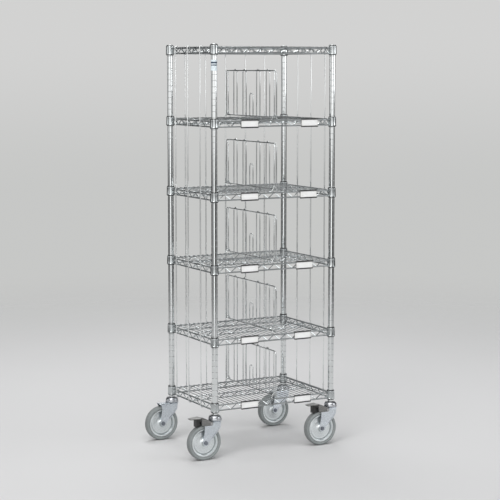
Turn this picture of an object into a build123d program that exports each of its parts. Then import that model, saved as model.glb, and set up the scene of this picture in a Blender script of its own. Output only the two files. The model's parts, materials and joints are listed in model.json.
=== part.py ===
from build123d import *

import os

# Wire shelf cart. Six welded wire shelves wedge onto four grooved tube posts with split plastic sleeves.
# Vertical rods close the left, right and back sides, five of the shelves carry a wire divider and two
# label holders, and each post stands on a swivel caster. The two front casters have a brake pedal.
#
# Millimetres, +X to the right along the open front, +Y to the back, +Z up, floor at Z = 0. The origin is
# the middle of the footprint with all four casters trailing towards -X.

os.makedirs("parts", exist_ok=True)

# Posts
INCH = 25.4
POST_SPAN_X = 570.0
POST_SPAN_Y = 418.0
POST_RADIUS = INCH / 2
POST_WALL = 1.3
POST_FOOT = 189.1
POST_HEAD = 1738.0
CAP_HEAD = 2.0
CAP_PLUG = 12.0
GROOVE_PITCH = INCH
GROOVE_DEPTH = 0.6
GROOVE_WIDTH = 2.0

# Shelves, given from the underside of the corner collars
LOWEST_SHELF = 199.4
LOWEST_BAY = 11 * INCH
BAY = 12 * INCH
SHELF_COUNT = 6
COLLAR_HEIGHT = 36.0
COLLAR_FOOT_RADIUS = 18.2
COLLAR_HEAD_RADIUS = 17.2
COLLAR_BORE = 15.05
RIM_RADIUS = 3.2
RIM_TOP = 27.0
RIM_BOTTOM = 4.5
TRUSS_RADIUS = 2.0
TRUSS_PITCH = 60.0
MAT_RADIUS = 1.4
MAT_PITCH = 22.0
MAT_AXIS = 31.0
MAT_STOP = 0.1
SUPPORT_RADIUS = 2.4
SUPPORT_TOP = 27.5
SUPPORT_BOTTOM = 9.0

# Split sleeves, each a pair of half rings
SLEEVE_BORE = 12.75
SLEEVE_RADIUS = 15.0
SLEEVE_OVERHANG = 3.5
SLEEVE_SLOT = 1.0

# Enclosure rods and their clips on the top and bottom shelf rims
ENCLOSURE_RADIUS = 2.5
CLIP_BORE = 3.3
CLIP_RADIUS = 4.7
CLIP_WIDTH = 8.0
ENCLOSURE_REACH = CLIP_RADIUS + 0.05 + ENCLOSURE_RADIUS
ENCLOSURE_OVERRUN = 9.0
LEFT_RODS_Y = (-93.0, 24.0, 143.0)
RIGHT_RODS_Y = (-136.0, -19.0, 98.0)
BACK_RODS_X = (-209.0, -109.0, -10.0, 91.0, 188.0)

# Dividers
DIVIDER_HEIGHT = 206.5
DIVIDER_RAIL = 2.75
DIVIDER_WIRE = 2.15
DIVIDER_HALF_DEPTH = 227.0
DIVIDER_CORNER = 16.0
DIVIDER_CLEARANCE = 9.0
DIVIDER_INNER_UPRIGHT = 18.0
HAIRPIN_PLACES = (-147.0, -62.0, 62.0, 147.0)
HAIRPIN_GAUGE = 30.0
HAIRPIN_RISE = 4.0
HAIRPIN_OFFSET = 3.6
SHORT_HAIRPIN = 98.0
FOOT_SPREAD = 12.0
FOOT_APEX = 26.0
FOOT_GAP = 0.6

# Label holders, hung on the front rim
HOLDER_WIDTH = 82.0
HOLDER_HEIGHT = 36.0
HOLDER_SHEET = 1.2
HOLDER_CHANNEL = 2.6
HOLDER_LIP = 5.3
CARD_THICKNESS = 0.6
LEFT_HOLDER_X = -120.0
RIGHT_HOLDERS_X = (170.0, 166.0, 147.0, 140.0, 140.0)

# Sticker on the front left post
STICKER_FOOT = 1630.0
STICKER_HEIGHT = 44.0
STICKER_THICKNESS = 0.25

# Casters, given from the swivel axis with the wheel trailing towards -X
WHEEL_RADIUS = 75.0
TRAIL = 53.0
TYRE_WIDTH = 32.0
TYRE_SHOULDER = 8.0
TYRE_BORE = 60.05
RIM_WIDTH = 26.0
HUB_WIDTH = 31.0
HUB_BORE = 9.05
FORK_GAP = 36.0
FORK_SHEET = 3.0
WEB_REAR = -68.0
WEB_FRONT = 24.0
WEB_TOP = 165.0
WEB_THICKNESS = 4.0
CROWN_RADIUS = 27.0
RACE_SEAT_RADIUS = 24.0
RACE_SEAT_TOP = 172.6
DOME_RADIUS = 28.5
DOME_FOOT = 165.5
DOME_TOP = 187.0
BALL_RADIUS = 3.5
BALL_CIRCLE = 18.5
BALL_COUNT = 14
KINGPIN_RADIUS = 8.0
STEM_TOP = 236.0
AXLE_RADIUS = 6.0
AXLE_END = 27.0
BOLT_HEAD = 5.5
RUNNING_FIT = 0.06
BODY_GAP = 0.3

# Brake pedals
PEDAL_PIVOT_X = -28.0
PEDAL_PIVOT_Z = 156.5
PEDAL_PIN = 3.0
PEDAL_CHEEK_INNER = 21.5
PEDAL_CHEEK_OUTER = 24.0
PEDAL_TIP = -122.0
PEDAL_CREST = 184.5
SHOE_REAR = -95.0
SHOE_FRONT = -71.0
SHOE_HALF_WIDTH = 15.0
SHOE_RADIUS = 80.5

SHELF_LEVELS = [LOWEST_SHELF]
SHELF_LEVELS += [LOWEST_SHELF + LOWEST_BAY + BAY * step for step in range(SHELF_COUNT - 1)]
SHELF_LEVELS.reverse()
TOP_SHELF = SHELF_LEVELS[0]

# The frame's middle stands off the footprint's middle, because the casters trail
CENTRE_X = (TRAIL + WHEEL_RADIUS - DOME_RADIUS) / 2
LEFT_X = CENTRE_X - POST_SPAN_X / 2
RIGHT_X = CENTRE_X + POST_SPAN_X / 2
FRONT_Y = -POST_SPAN_Y / 2
BACK_Y = POST_SPAN_Y / 2
CORNERS = {
    "front_left": (LEFT_X, FRONT_Y),
    "front_right": (RIGHT_X, FRONT_Y),
    "back_left": (LEFT_X, BACK_Y),
    "back_right": (RIGHT_X, BACK_Y),
}


def save(piece, name):
    """Label a finished piece and write it to its own STEP file."""
    piece.part.label = name
    export_step(piece.part, f"parts/{name}.step", write_pcurves=False)


def place(shape, spots, name):
    """Write one node that holds the shape at each of the spots."""
    with BuildPart() as placed:
        with Locations(*spots):
            add(shape)
    save(placed, name)


def zigzag(start, end, low, high, periods):
    """Planes at the foot of each leg of a zigzag between two rods, and the leg's length."""
    run = end - start
    step = run / (2 * periods)
    planes = []
    for leg in range(2 * periods):
        foot = start + step * leg
        head = foot + step
        levels = (low, high) if leg % 2 == 0 else (high, low)
        origin = Vector(foot.X, foot.Y, levels[0])
        planes.append(Plane(origin=origin, z_dir=Vector(head.X, head.Y, levels[1]) - origin))
    length = (Vector(step.X, step.Y, high - low)).length
    return planes, length


# ---------------------------------------------------------------- posts and caps

# Half section of the tube wall, with a shallow groove around it at every inch
groove_count = int((POST_HEAD - LOWEST_SHELF) // GROOVE_PITCH) + 1
outline = [(POST_RADIUS, POST_FOOT)]
for index in range(groove_count):
    groove = LOWEST_SHELF + COLLAR_HEIGHT / 2 + GROOVE_PITCH * index
    if groove + GROOVE_WIDTH < POST_HEAD:
        outline.append((POST_RADIUS, groove - GROOVE_WIDTH / 2))
        outline.append((POST_RADIUS - GROOVE_DEPTH, groove - GROOVE_WIDTH / 4))
        outline.append((POST_RADIUS - GROOVE_DEPTH, groove + GROOVE_WIDTH / 4))
        outline.append((POST_RADIUS, groove + GROOVE_WIDTH / 2))
post_bore = POST_RADIUS - POST_WALL
outline += [(POST_RADIUS, POST_HEAD), (post_bore, POST_HEAD), (post_bore, POST_FOOT)]

with BuildPart() as post:
    with BuildSketch(Plane.XZ):
        with BuildLine():
            Polyline(*outline, close=True)
        make_face()
    revolve(axis=Axis.Z)
for corner, (x, y) in CORNERS.items():
    place(post.part, [(x, y)], f"post_{corner}")

# Push-in cap: a plug inside the tube under a thin round head
with BuildPart() as cap:
    with BuildSketch(Plane.XY.offset(POST_HEAD - CAP_PLUG)):
        Circle(post_bore - 0.05)
    extrude(amount=CAP_PLUG)
    with BuildSketch(Plane.XY.offset(POST_HEAD)):
        Circle(POST_RADIUS)
    extrude(amount=CAP_HEAD)
    fillet(cap.edges().group_by(Axis.Z)[-1], 0.8)
place(cap.part, CORNERS.values(), "post_caps")

# ---------------------------------------------------------------- shelves

rim_levels = (RIM_TOP, RIM_BOTTOM)
long_rods = [Plane(origin=(LEFT_X, y, z), z_dir=(1, 0, 0)) for y in (FRONT_Y, BACK_Y) for z in rim_levels]
short_rods = [Plane(origin=(x, FRONT_Y, z), z_dir=(0, 1, 0)) for x in (LEFT_X, RIGHT_X) for z in rim_levels]
support_rods = [Plane(origin=(LEFT_X, 0, z), z_dir=(1, 0, 0)) for z in (SUPPORT_TOP, SUPPORT_BOTTOM)]
mat_half_count = int((POST_SPAN_X / 2 - COLLAR_FOOT_RADIUS) // MAT_PITCH)
mat_wires = [
    Plane(origin=(CENTRE_X + MAT_PITCH * index, FRONT_Y + MAT_STOP, MAT_AXIS), z_dir=(0, 1, 0))
    for index in range(-mat_half_count, mat_half_count + 1)
]
clear_x = POST_SPAN_X / 2 - COLLAR_FOOT_RADIUS
clear_y = POST_SPAN_Y / 2 - COLLAR_FOOT_RADIUS
long_periods = round(2 * clear_x / TRUSS_PITCH)
short_periods = round(2 * clear_y / TRUSS_PITCH)
long_legs = []
for y in (FRONT_Y, BACK_Y):
    legs, long_leg = zigzag(
        Vector(CENTRE_X - clear_x, y), Vector(CENTRE_X + clear_x, y), RIM_BOTTOM, RIM_TOP, long_periods
    )
    long_legs += legs
short_legs = []
for x in (LEFT_X, RIGHT_X):
    legs, short_leg = zigzag(Vector(x, -clear_y), Vector(x, clear_y), RIM_BOTTOM, RIM_TOP, short_periods)
    short_legs += legs
support_legs, support_leg = zigzag(
    Vector(CENTRE_X - clear_x, 0), Vector(CENTRE_X + clear_x, 0), SUPPORT_BOTTOM, SUPPORT_TOP, long_periods
)

# One welded shelf: two rim rods a side with zigzag wire between them, a centre support and the mat wires
with BuildPart() as welded_shelf:
    for planes, radius, length in (
        (long_rods, RIM_RADIUS, POST_SPAN_X),
        (short_rods, RIM_RADIUS, POST_SPAN_Y),
        (support_rods, SUPPORT_RADIUS, POST_SPAN_X),
        (long_legs, TRUSS_RADIUS, long_leg),
        (short_legs, TRUSS_RADIUS, short_leg),
        (support_legs, TRUSS_RADIUS, support_leg),
        (mat_wires, MAT_RADIUS, POST_SPAN_Y - 2 * MAT_STOP),
    ):
        with BuildSketch(*planes):
            Circle(radius)
        extrude(amount=length)
    with Locations(*CORNERS.values()):
        Cone(
            COLLAR_FOOT_RADIUS,
            COLLAR_HEAD_RADIUS,
            COLLAR_HEIGHT,
            align=(Align.CENTER, Align.CENTER, Align.MIN),
        )
    with BuildSketch():
        with Locations(*CORNERS.values()):
            Circle(COLLAR_BORE)
    extrude(amount=COLLAR_HEIGHT, mode=Mode.SUBTRACT)
for number, level in enumerate(SHELF_LEVELS, start=1):
    place(welded_shelf.part, [(0, 0, level)], f"shelf_{number}")

# Two half rings around the post under each collar
with BuildPart() as sleeve:
    with BuildSketch(Plane.XY.offset(-SLEEVE_OVERHANG)):
        Circle(SLEEVE_RADIUS)
        Circle(SLEEVE_BORE, mode=Mode.SUBTRACT)
        Rectangle(SLEEVE_SLOT, 3 * SLEEVE_RADIUS, mode=Mode.SUBTRACT)
    extrude(amount=COLLAR_HEIGHT + 2 * SLEEVE_OVERHANG)
place(sleeve.part, [(x, y, z) for x, y in CORNERS.values() for z in SHELF_LEVELS], "split_sleeves")

# ---------------------------------------------------------------- enclosure rods and clips

ROD_FOOT = LOWEST_SHELF + RIM_BOTTOM - ENCLOSURE_OVERRUN
ROD_HEAD = TOP_SHELF + RIM_TOP + ENCLOSURE_OVERRUN
LEFT_RODS = [(LEFT_X - ENCLOSURE_REACH, y) for y in LEFT_RODS_Y]
RIGHT_RODS = [(RIGHT_X + ENCLOSURE_REACH, y) for y in RIGHT_RODS_Y]
BACK_RODS = [(CENTRE_X + x, BACK_Y + ENCLOSURE_REACH) for x in BACK_RODS_X]

with BuildPart() as enclosure_rod:
    with BuildSketch(Plane.XY.offset(ROD_FOOT)):
        Circle(ENCLOSURE_RADIUS)
    extrude(amount=ROD_HEAD - ROD_FOOT)
    fillet(enclosure_rod.edges(), 1.2)
place(enclosure_rod.part, LEFT_RODS, "left_rods")
place(enclosure_rod.part, RIGHT_RODS, "right_rods")
place(enclosure_rod.part, BACK_RODS, "back_rods")

# Part ring that hooks a rod to the outer side of a rim rod, clear of the zigzag wire behind it
with BuildPart() as clip:
    with BuildSketch(Plane.XZ.offset(-CLIP_WIDTH / 2)):
        Circle(CLIP_RADIUS)
        Circle(CLIP_BORE, mode=Mode.SUBTRACT)
        with Locations((TRUSS_RADIUS + 0.2 - CLIP_RADIUS, 0)):
            Rectangle(2 * CLIP_RADIUS, 3 * CLIP_RADIUS, mode=Mode.SUBTRACT)
    extrude(amount=CLIP_WIDTH)
clip_spots = []
for z in (TOP_SHELF + RIM_TOP, LOWEST_SHELF + RIM_BOTTOM):
    clip_spots += [Location((LEFT_X, y, z), (0, 0, 180)) for y in LEFT_RODS_Y]
    clip_spots += [Location((RIGHT_X, y, z)) for y in RIGHT_RODS_Y]
    clip_spots += [Location((CENTRE_X + x, BACK_Y, z), (0, 0, 90)) for x in BACK_RODS_X]
place(clip.part, clip_spots, "rod_clips")

# ---------------------------------------------------------------- dividers

MAT_TOP = MAT_AXIS + MAT_RADIUS
RAIL_LOW = MAT_TOP + DIVIDER_CLEARANCE
RAIL_HIGH = MAT_TOP + DIVIDER_HEIGHT - DIVIDER_RAIL
HAIRPIN_TOP = RAIL_HIGH + DIVIDER_RAIL + HAIRPIN_RISE - DIVIDER_WIRE
FOOT_FLOOR = RIM_TOP + RIM_RADIUS + FOOT_GAP
FOOT_Y = POST_SPAN_Y / 2


def hairpin(place_y, top):
    """Wire bent into two legs and a round head, standing on the bottom rail."""
    half = HAIRPIN_GAUGE / 2
    with BuildPart() as pin:
        with BuildLine() as path:
            Line((HAIRPIN_OFFSET, place_y - half, RAIL_LOW), (HAIRPIN_OFFSET, place_y - half, top - half))
            ThreePointArc(
                (HAIRPIN_OFFSET, place_y - half, top - half),
                (HAIRPIN_OFFSET, place_y, top),
                (HAIRPIN_OFFSET, place_y + half, top - half),
            )
            Line((HAIRPIN_OFFSET, place_y + half, top - half), (HAIRPIN_OFFSET, place_y + half, RAIL_LOW))
        with BuildSketch(Plane(origin=path.line @ 0, z_dir=path.line % 0)):
            Circle(DIVIDER_WIRE)
        sweep()
    return pin.part


hairpins = [hairpin(y, HAIRPIN_TOP) for y in HAIRPIN_PLACES] + [hairpin(0, RAIL_LOW + SHORT_HAIRPIN)]

with BuildPart() as divider_panel:
    # Outer hoop: up one end, along the top and down the other, with round corners
    with BuildLine() as hoop:
        FilletPolyline(
            (0, -DIVIDER_HALF_DEPTH, RAIL_LOW - DIVIDER_RAIL),
            (0, -DIVIDER_HALF_DEPTH, RAIL_HIGH),
            (0, DIVIDER_HALF_DEPTH, RAIL_HIGH),
            (0, DIVIDER_HALF_DEPTH, RAIL_LOW - DIVIDER_RAIL),
            radius=DIVIDER_CORNER,
        )
    with BuildSketch(Plane(origin=hoop.line @ 0, z_dir=hoop.line % 0)):
        Circle(DIVIDER_RAIL)
    sweep()
    # Bottom rail
    with BuildSketch(Plane(origin=(0, -DIVIDER_HALF_DEPTH, RAIL_LOW), z_dir=(0, 1, 0))):
        Circle(DIVIDER_RAIL - 0.3)
    extrude(amount=2 * DIVIDER_HALF_DEPTH)
    # Second upright beside each end of the hoop
    inner_y = DIVIDER_HALF_DEPTH - DIVIDER_INNER_UPRIGHT
    with BuildSketch(*[Plane(origin=(0, side * inner_y, RAIL_LOW), z_dir=(0, 0, 1)) for side in (-1, 1)]):
        Circle(DIVIDER_WIRE)
    extrude(amount=RAIL_HIGH - RAIL_LOW)
    add(hairpins)
    # Splayed feet that straddle the rim rods
    apex = FOOT_FLOOR + FOOT_APEX
    for side in (-1, 1):
        foot_planes = []
        for lean in (-1, 1):
            toe = Vector(lean * FOOT_SPREAD, side * FOOT_Y, FOOT_FLOOR + DIVIDER_WIRE)
            foot_planes.append(Plane(origin=toe, z_dir=Vector(0, side * FOOT_Y, apex) - toe))
        with BuildSketch(*foot_planes):
            Circle(DIVIDER_WIRE)
        extrude(amount=(Vector(0, 0, apex) - Vector(FOOT_SPREAD, 0, FOOT_FLOOR + DIVIDER_WIRE)).length)
for number, level in enumerate(SHELF_LEVELS[1:], start=2):
    place(divider_panel.part, [(CENTRE_X, 0, level)], f"divider_{number}")

# ---------------------------------------------------------------- labels

HOLDER_BACK = FRONT_Y - RIM_RADIUS - 0.2
HOLDER_FOOT = (RIM_TOP + RIM_BOTTOM - HOLDER_HEIGHT) / 2
inner_height = HOLDER_HEIGHT - 2 * HOLDER_SHEET
holder_depth = HOLDER_CHANNEL + HOLDER_SHEET
card_middle = (HOLDER_BACK - HOLDER_SHEET - CARD_THICKNESS / 2 - 0.1, HOLDER_FOOT + HOLDER_HEIGHT / 2)

# Shallow channel, open at its ends, with a lip along the top and the bottom to hold the card
with BuildPart() as holder:
    with BuildSketch(Plane.YZ.offset(-HOLDER_WIDTH / 2)):
        with Locations((HOLDER_BACK - holder_depth / 2, HOLDER_FOOT + HOLDER_HEIGHT / 2)):
            Rectangle(holder_depth, HOLDER_HEIGHT)
            with Locations((0, 0)):
                Rectangle(holder_depth - 2 * HOLDER_SHEET, inner_height, mode=Mode.SUBTRACT)
            with Locations(((HOLDER_SHEET - holder_depth) / 2, 0)):
                Rectangle(HOLDER_SHEET + 0.01, HOLDER_HEIGHT - 2 * HOLDER_LIP, mode=Mode.SUBTRACT)
    extrude(amount=HOLDER_WIDTH)
with BuildPart() as card:
    with Locations((0, *card_middle)):
        Box(HOLDER_WIDTH - 2, CARD_THICKNESS, inner_height - 0.4)
label_spots = []
for level, right_x in zip(SHELF_LEVELS[1:], RIGHT_HOLDERS_X):
    label_spots += [(CENTRE_X + LEFT_HOLDER_X, 0, level), (CENTRE_X + right_x, 0, level)]
place(holder.part, label_spots, "label_holders")
place(card.part, label_spots, "label_cards")

# Blank banded sticker wrapped round the outer side of the front left post
with BuildPart() as sticker:
    with BuildSketch(Plane.XY.offset(STICKER_FOOT)):
        Circle(SLEEVE_BORE + STICKER_THICKNESS)
        Circle(SLEEVE_BORE, mode=Mode.SUBTRACT)
        with Locations((POST_RADIUS * 1.2, POST_RADIUS * 1.2)):
            Rectangle(3 * POST_RADIUS, 3 * POST_RADIUS, rotation=45, mode=Mode.SUBTRACT)
    extrude(amount=STICKER_HEIGHT)
place(sticker.part, [CORNERS["front_left"]], "post_sticker")

# ---------------------------------------------------------------- casters

AXLE_PLANE = Plane(origin=(-TRAIL, 0, WHEEL_RADIUS), x_dir=(0, 1, 0), z_dir=(1, 0, 0))
AXLE = Axis((-TRAIL, 0, WHEEL_RADIUS), (0, 1, 0))
WEB_FOOT = WEB_TOP - WEB_THICKNESS
FORK_OUTER = FORK_GAP / 2 + FORK_SHEET

# Bush pressed into the foot of the post, with a flange that the tube stands on
with BuildPart() as socket:
    with BuildSketch(Plane.XY.offset(DOME_TOP + 0.05)):
        Circle(POST_RADIUS)
    extrude(amount=POST_FOOT - DOME_TOP - 0.1)
    with BuildSketch(Plane.XY.offset(POST_FOOT - 0.05)):
        Circle(post_bore - 0.05)
    extrude(amount=STEM_TOP - POST_FOOT)
    with BuildSketch(Plane.XY.offset(DOME_TOP)):
        Circle(KINGPIN_RADIUS + 0.05)
    extrude(amount=STEM_TOP, mode=Mode.SUBTRACT)
place(socket.part, CORNERS.values(), "stem_sockets")

# Kingpin and stem in one: a rivet head under the fork and a plain stem up into the bush
with BuildPart() as stem:
    with BuildSketch(Plane.XY.offset(WEB_FOOT - BODY_GAP - 4.5)):
        Circle(13)
    extrude(amount=4.5)
    with BuildSketch(Plane.XY.offset(WEB_FOOT - BODY_GAP)):
        Circle(KINGPIN_RADIUS)
    extrude(amount=STEM_TOP - WEB_FOOT + BODY_GAP)
    chamfer(stem.edges().group_by(Axis.Z)[-1], 1.5)
place(stem.part, CORNERS.values(), "caster_stems")

# Pressed dome over the swivel bearing
dome_bore = KINGPIN_RADIUS + 0.03
with BuildPart() as dome:
    with BuildSketch(Plane.XZ):
        with BuildLine():
            Polyline((dome_bore, DOME_TOP - 7), (23, DOME_TOP - 7), (26, DOME_FOOT + 6.5), (26, DOME_FOOT))
            Polyline((26, DOME_FOOT), (DOME_RADIUS, DOME_FOOT), (DOME_RADIUS, DOME_FOOT + 6))
            ThreePointArc((DOME_RADIUS, DOME_FOOT + 6), (25.2, DOME_TOP - 6.5), (15.5, DOME_TOP))
            Polyline((15.5, DOME_TOP), (dome_bore, DOME_TOP), (dome_bore, DOME_TOP - 7))
        make_face()
    revolve(axis=Axis.Z)

# Ring of loose balls that the fork turns on
with BuildPart() as balls:
    with Locations((0, 0, RACE_SEAT_TOP + BALL_RADIUS + 0.05)):
        with PolarLocations(BALL_CIRCLE, BALL_COUNT):
            Sphere(BALL_RADIUS)


def build_fork(braked):
    """Pressed fork: a web over the wheel, two tapered legs and the seat of the swivel bearing.

    A braked fork also has the holes for the pedal's pin.
    """
    with BuildPart() as fork:
        with BuildSketch(Plane.XZ.offset(-FORK_OUTER)):
            with Locations((-TRAIL, WHEEL_RADIUS)):
                Circle(13)
            with Locations((11, 146)):
                Circle(8)
            with Locations((-50, 150)):
                Circle(6)
            make_hull()
            with Locations(((WEB_REAR + WEB_FRONT) / 2, WEB_TOP - 8)):
                RectangleRounded(WEB_FRONT - WEB_REAR, 16, 3)
        extrude(amount=2 * FORK_OUTER)
        with BuildSketch(Plane.XY.offset(WEB_FOOT)):
            Circle(CROWN_RADIUS)
        extrude(amount=WEB_THICKNESS)
        with Locations((-TRAIL, 0, WEB_FOOT - 80)):
            Box(200, FORK_GAP, 160, mode=Mode.SUBTRACT)
        with BuildSketch(Plane.XY.offset(WEB_TOP)):
            Circle(RACE_SEAT_RADIUS)
        extrude(amount=RACE_SEAT_TOP - WEB_TOP)
        with BuildSketch(Plane.XY.offset(WEB_FOOT - 1)):
            Circle(KINGPIN_RADIUS + RUNNING_FIT)
        extrude(amount=RACE_SEAT_TOP - WEB_FOOT + 2, mode=Mode.SUBTRACT)
        with BuildSketch(Plane.XZ.offset(-FORK_OUTER - 1)):
            with Locations((-TRAIL, WHEEL_RADIUS)):
                Circle(AXLE_RADIUS + 0.02)
            if braked:
                with Locations((PEDAL_PIVOT_X, PEDAL_PIVOT_Z)):
                    Circle(PEDAL_PIN + 0.02)
        extrude(amount=2 * FORK_OUTER + 2, mode=Mode.SUBTRACT)
    return fork.part


plain_fork = build_fork(False)
braked_fork = build_fork(True)

# Pressed wheel: hub, dished disc and rim, the same on both sides
with BuildPart() as wheel_core:
    with BuildSketch(AXLE_PLANE):
        with BuildLine():
            Polyline(
                (0, HUB_BORE),
                (HUB_WIDTH / 2, HUB_BORE),
                (HUB_WIDTH / 2, 14),
                (9.5, 17),
                (6.5, 24),
                (4, 40),
                (3, 49),
                (5, 51.5),
                (RIM_WIDTH / 2 - 2, 53),
                (RIM_WIDTH / 2, 55),
                (RIM_WIDTH / 2, TYRE_BORE - 0.05),
                (0, TYRE_BORE - 0.05),
                close=True,
            )
        make_face()
        mirror(about=Plane.YZ)
    revolve(axis=AXLE)

# Soft tyre with rounded shoulders
with BuildPart() as tyre:
    with BuildSketch(AXLE_PLANE):
        with Locations((0, (WHEEL_RADIUS + TYRE_BORE) / 2)):
            band = Rectangle(TYRE_WIDTH, WHEEL_RADIUS - TYRE_BORE)
        fillet(band.vertices().group_by(Axis.Y)[-1], TYRE_SHOULDER)
    revolve(axis=AXLE)

# Two flanged bushes in the hub
with BuildPart() as bearings:
    with BuildSketch(AXLE_PLANE):
        with BuildLine():
            Polyline(
                (7, AXLE_RADIUS + RUNNING_FIT),
                (FORK_GAP / 2 - BODY_GAP, AXLE_RADIUS + RUNNING_FIT),
                (FORK_GAP / 2 - BODY_GAP, 12),
                (HUB_WIDTH / 2 + 0.05, 12),
                (HUB_WIDTH / 2 + 0.05, HUB_BORE - 0.05),
                (7, HUB_BORE - 0.05),
                close=True,
            )
        make_face()
        mirror(about=Plane.YZ)
    revolve(axis=AXLE)

# Axle bolt: hexagon head at the front, nut at the back
with BuildPart() as axle:
    with BuildSketch(Plane.XZ.offset(-AXLE_END)):
        with Locations((-TRAIL, WHEEL_RADIUS)):
            Circle(AXLE_RADIUS)
    extrude(amount=2 * AXLE_END)
    for start, thickness in ((-FORK_OUTER - BOLT_HEAD, BOLT_HEAD), (FORK_OUTER, BOLT_HEAD)):
        with BuildSketch(Plane.XZ.offset(start)):
            with Locations((-TRAIL, WHEEL_RADIUS)):
                RegularPolygon(9.8, 6)
        extrude(amount=thickness)

caster_pieces = {
    "swivel_dome": dome.part,
    "swivel_balls": balls.part,
    "wheel_core": wheel_core.part,
    "tyre": tyre.part,
    "wheel_bushes": bearings.part,
    "axle_bolt": axle.part,
}
for corner, (x, y) in CORNERS.items():
    for name, shape in caster_pieces.items():
        place(shape, [(x, y)], f"{name}_{corner}")
    place(braked_fork if corner.startswith("front") else plain_fork, [(x, y)], f"fork_{corner}")

# ---------------------------------------------------------------- brake pedals

# Pressed pedal: a tapered tongue, a shoe over the tyre and two cheeks that hang on the pin
with BuildPart() as pedal:
    # Side outline: tongue, shoe and cheeks as one thick plate
    with BuildSketch(Plane.XZ.offset(-PEDAL_CHEEK_OUTER)):
        with BuildLine():
            tip_top = (PEDAL_TIP, PEDAL_CREST - 2)
            Polyline(tip_top, (SHOE_FRONT - 4, PEDAL_CREST), (-60, 177), (-46, 175.5))
            Polyline((-46, 175.5), (PEDAL_PIVOT_X, 165), (PEDAL_PIVOT_X, 148), (-60, 148))
            Polyline((-60, 148), (SHOE_FRONT, 138), (SHOE_REAR, 138), (SHOE_REAR, 169))
            Polyline((SHOE_REAR, 169), (PEDAL_TIP, 179), tip_top)
        make_face()
        with Locations((PEDAL_PIVOT_X, PEDAL_PIVOT_Z)):
            Circle(8.5)
    extrude(amount=2 * PEDAL_CHEEK_OUTER)
    # Plan of the tongue, narrower towards its tip
    with BuildSketch(Plane.XY.offset(130)):
        with BuildLine():
            Polyline((SHOE_FRONT, -40), (SHOE_FRONT, -PEDAL_CHEEK_OUTER), (PEDAL_TIP, -15), (PEDAL_TIP, -40))
            Line((PEDAL_TIP, -40), (SHOE_FRONT, -40))
        make_face()
        mirror(about=Plane.XZ)
    extrude(amount=60, mode=Mode.SUBTRACT)
    # Room beside the shoe, between the cheeks, and over the swivel
    shoe_room = PEDAL_CHEEK_OUTER - SHOE_HALF_WIDTH
    for side in (-1, 1):
        with Locations((-90, side * (SHOE_HALF_WIDTH + shoe_room / 2), 152)):
            Box(40, shoe_room, 40, mode=Mode.SUBTRACT)
    with Locations((SHOE_FRONT + 40, 0, 153)):
        Box(80, 2 * PEDAL_CHEEK_INNER, 40, mode=Mode.SUBTRACT)
    with Locations((-22, 0, 170)):
        Box(44, 2 * PEDAL_CHEEK_INNER, 60, mode=Mode.SUBTRACT)
    with BuildSketch(Plane.XZ.offset(-40)):
        with Locations((PEDAL_PIVOT_X, PEDAL_PIVOT_Z)):
            Circle(PEDAL_PIN + RUNNING_FIT)
        with Locations((-TRAIL, WHEEL_RADIUS)):
            Circle(SHOE_RADIUS)
    extrude(amount=80, mode=Mode.SUBTRACT)

# Riveted pin through both cheeks and the fork's legs
with BuildPart() as pedal_pin:
    for start, thickness, radius in (
        (-PEDAL_CHEEK_OUTER - BODY_GAP - 1.8, 1.8, 5),
        (-PEDAL_CHEEK_OUTER - BODY_GAP, 2 * (PEDAL_CHEEK_OUTER + BODY_GAP), PEDAL_PIN),
        (PEDAL_CHEEK_OUTER + BODY_GAP, 1.8, 5),
    ):
        with BuildSketch(Plane.XZ.offset(-start - thickness)):
            with Locations((PEDAL_PIVOT_X, PEDAL_PIVOT_Z)):
                Circle(radius)
        extrude(amount=thickness)

for corner in ("front_left", "front_right"):
    place(pedal.part, [CORNERS[corner]], f"brake_pedal_{corner}")
    place(pedal_pin.part, [CORNERS[corner]], f"pedal_pin_{corner}")
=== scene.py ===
import json
import logging
import math
from dataclasses import dataclass, field
from enum import Enum

import bpy
import numpy as np
from numpy.typing import NDArray
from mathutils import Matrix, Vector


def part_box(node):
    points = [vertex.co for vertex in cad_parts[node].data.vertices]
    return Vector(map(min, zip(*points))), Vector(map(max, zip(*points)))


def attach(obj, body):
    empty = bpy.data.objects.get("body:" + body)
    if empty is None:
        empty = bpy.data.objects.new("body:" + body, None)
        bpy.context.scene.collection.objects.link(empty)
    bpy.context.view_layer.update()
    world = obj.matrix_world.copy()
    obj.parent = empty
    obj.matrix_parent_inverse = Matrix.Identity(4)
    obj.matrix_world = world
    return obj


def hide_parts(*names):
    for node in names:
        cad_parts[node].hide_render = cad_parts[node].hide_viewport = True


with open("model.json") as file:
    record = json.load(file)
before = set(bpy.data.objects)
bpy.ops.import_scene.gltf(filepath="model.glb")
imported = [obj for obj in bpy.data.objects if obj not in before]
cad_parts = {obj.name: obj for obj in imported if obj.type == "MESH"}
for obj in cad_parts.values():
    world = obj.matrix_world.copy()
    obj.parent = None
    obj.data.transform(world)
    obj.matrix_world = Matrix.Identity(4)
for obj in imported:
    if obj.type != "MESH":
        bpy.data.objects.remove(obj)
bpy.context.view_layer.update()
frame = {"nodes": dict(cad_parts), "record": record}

# The looks of a wire shelf cart: six welded chromed shelves on four grooved posts, rods on three sides, five
# wire dividers, label holders and four swivel casters. Lengths are in millimetres until a surface becomes a
# mesh. +X runs to the right along the open front, +Y to the back and +Z up, with the floor at Z = 0.

FloatArray = NDArray[np.float64]
IntArray = NDArray[np.int64]
Triple = tuple[float, float, float]
Colour = Triple

LOG = logging.getLogger("wire_shelf_cart")
METRE = 1000.0
X_AXIS = np.array([1.0, 0.0, 0.0])
Y_AXIS = np.array([0.0, 1.0, 0.0])
Z_AXIS = np.array([0.0, 0.0, 1.0])
# Each piece's mask: real marks such as tint and dirt on most pieces; painted shade in the post and wheel
# grooves and inside the dome skirts, and a painted dark reflection on the dome crests.
WEAR_AND_SHADE = "wear_and_shade"
# Edges that turn by more than this many degrees stay crisp, unless a piece sets its own limit.
CRISP = 38.0


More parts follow.
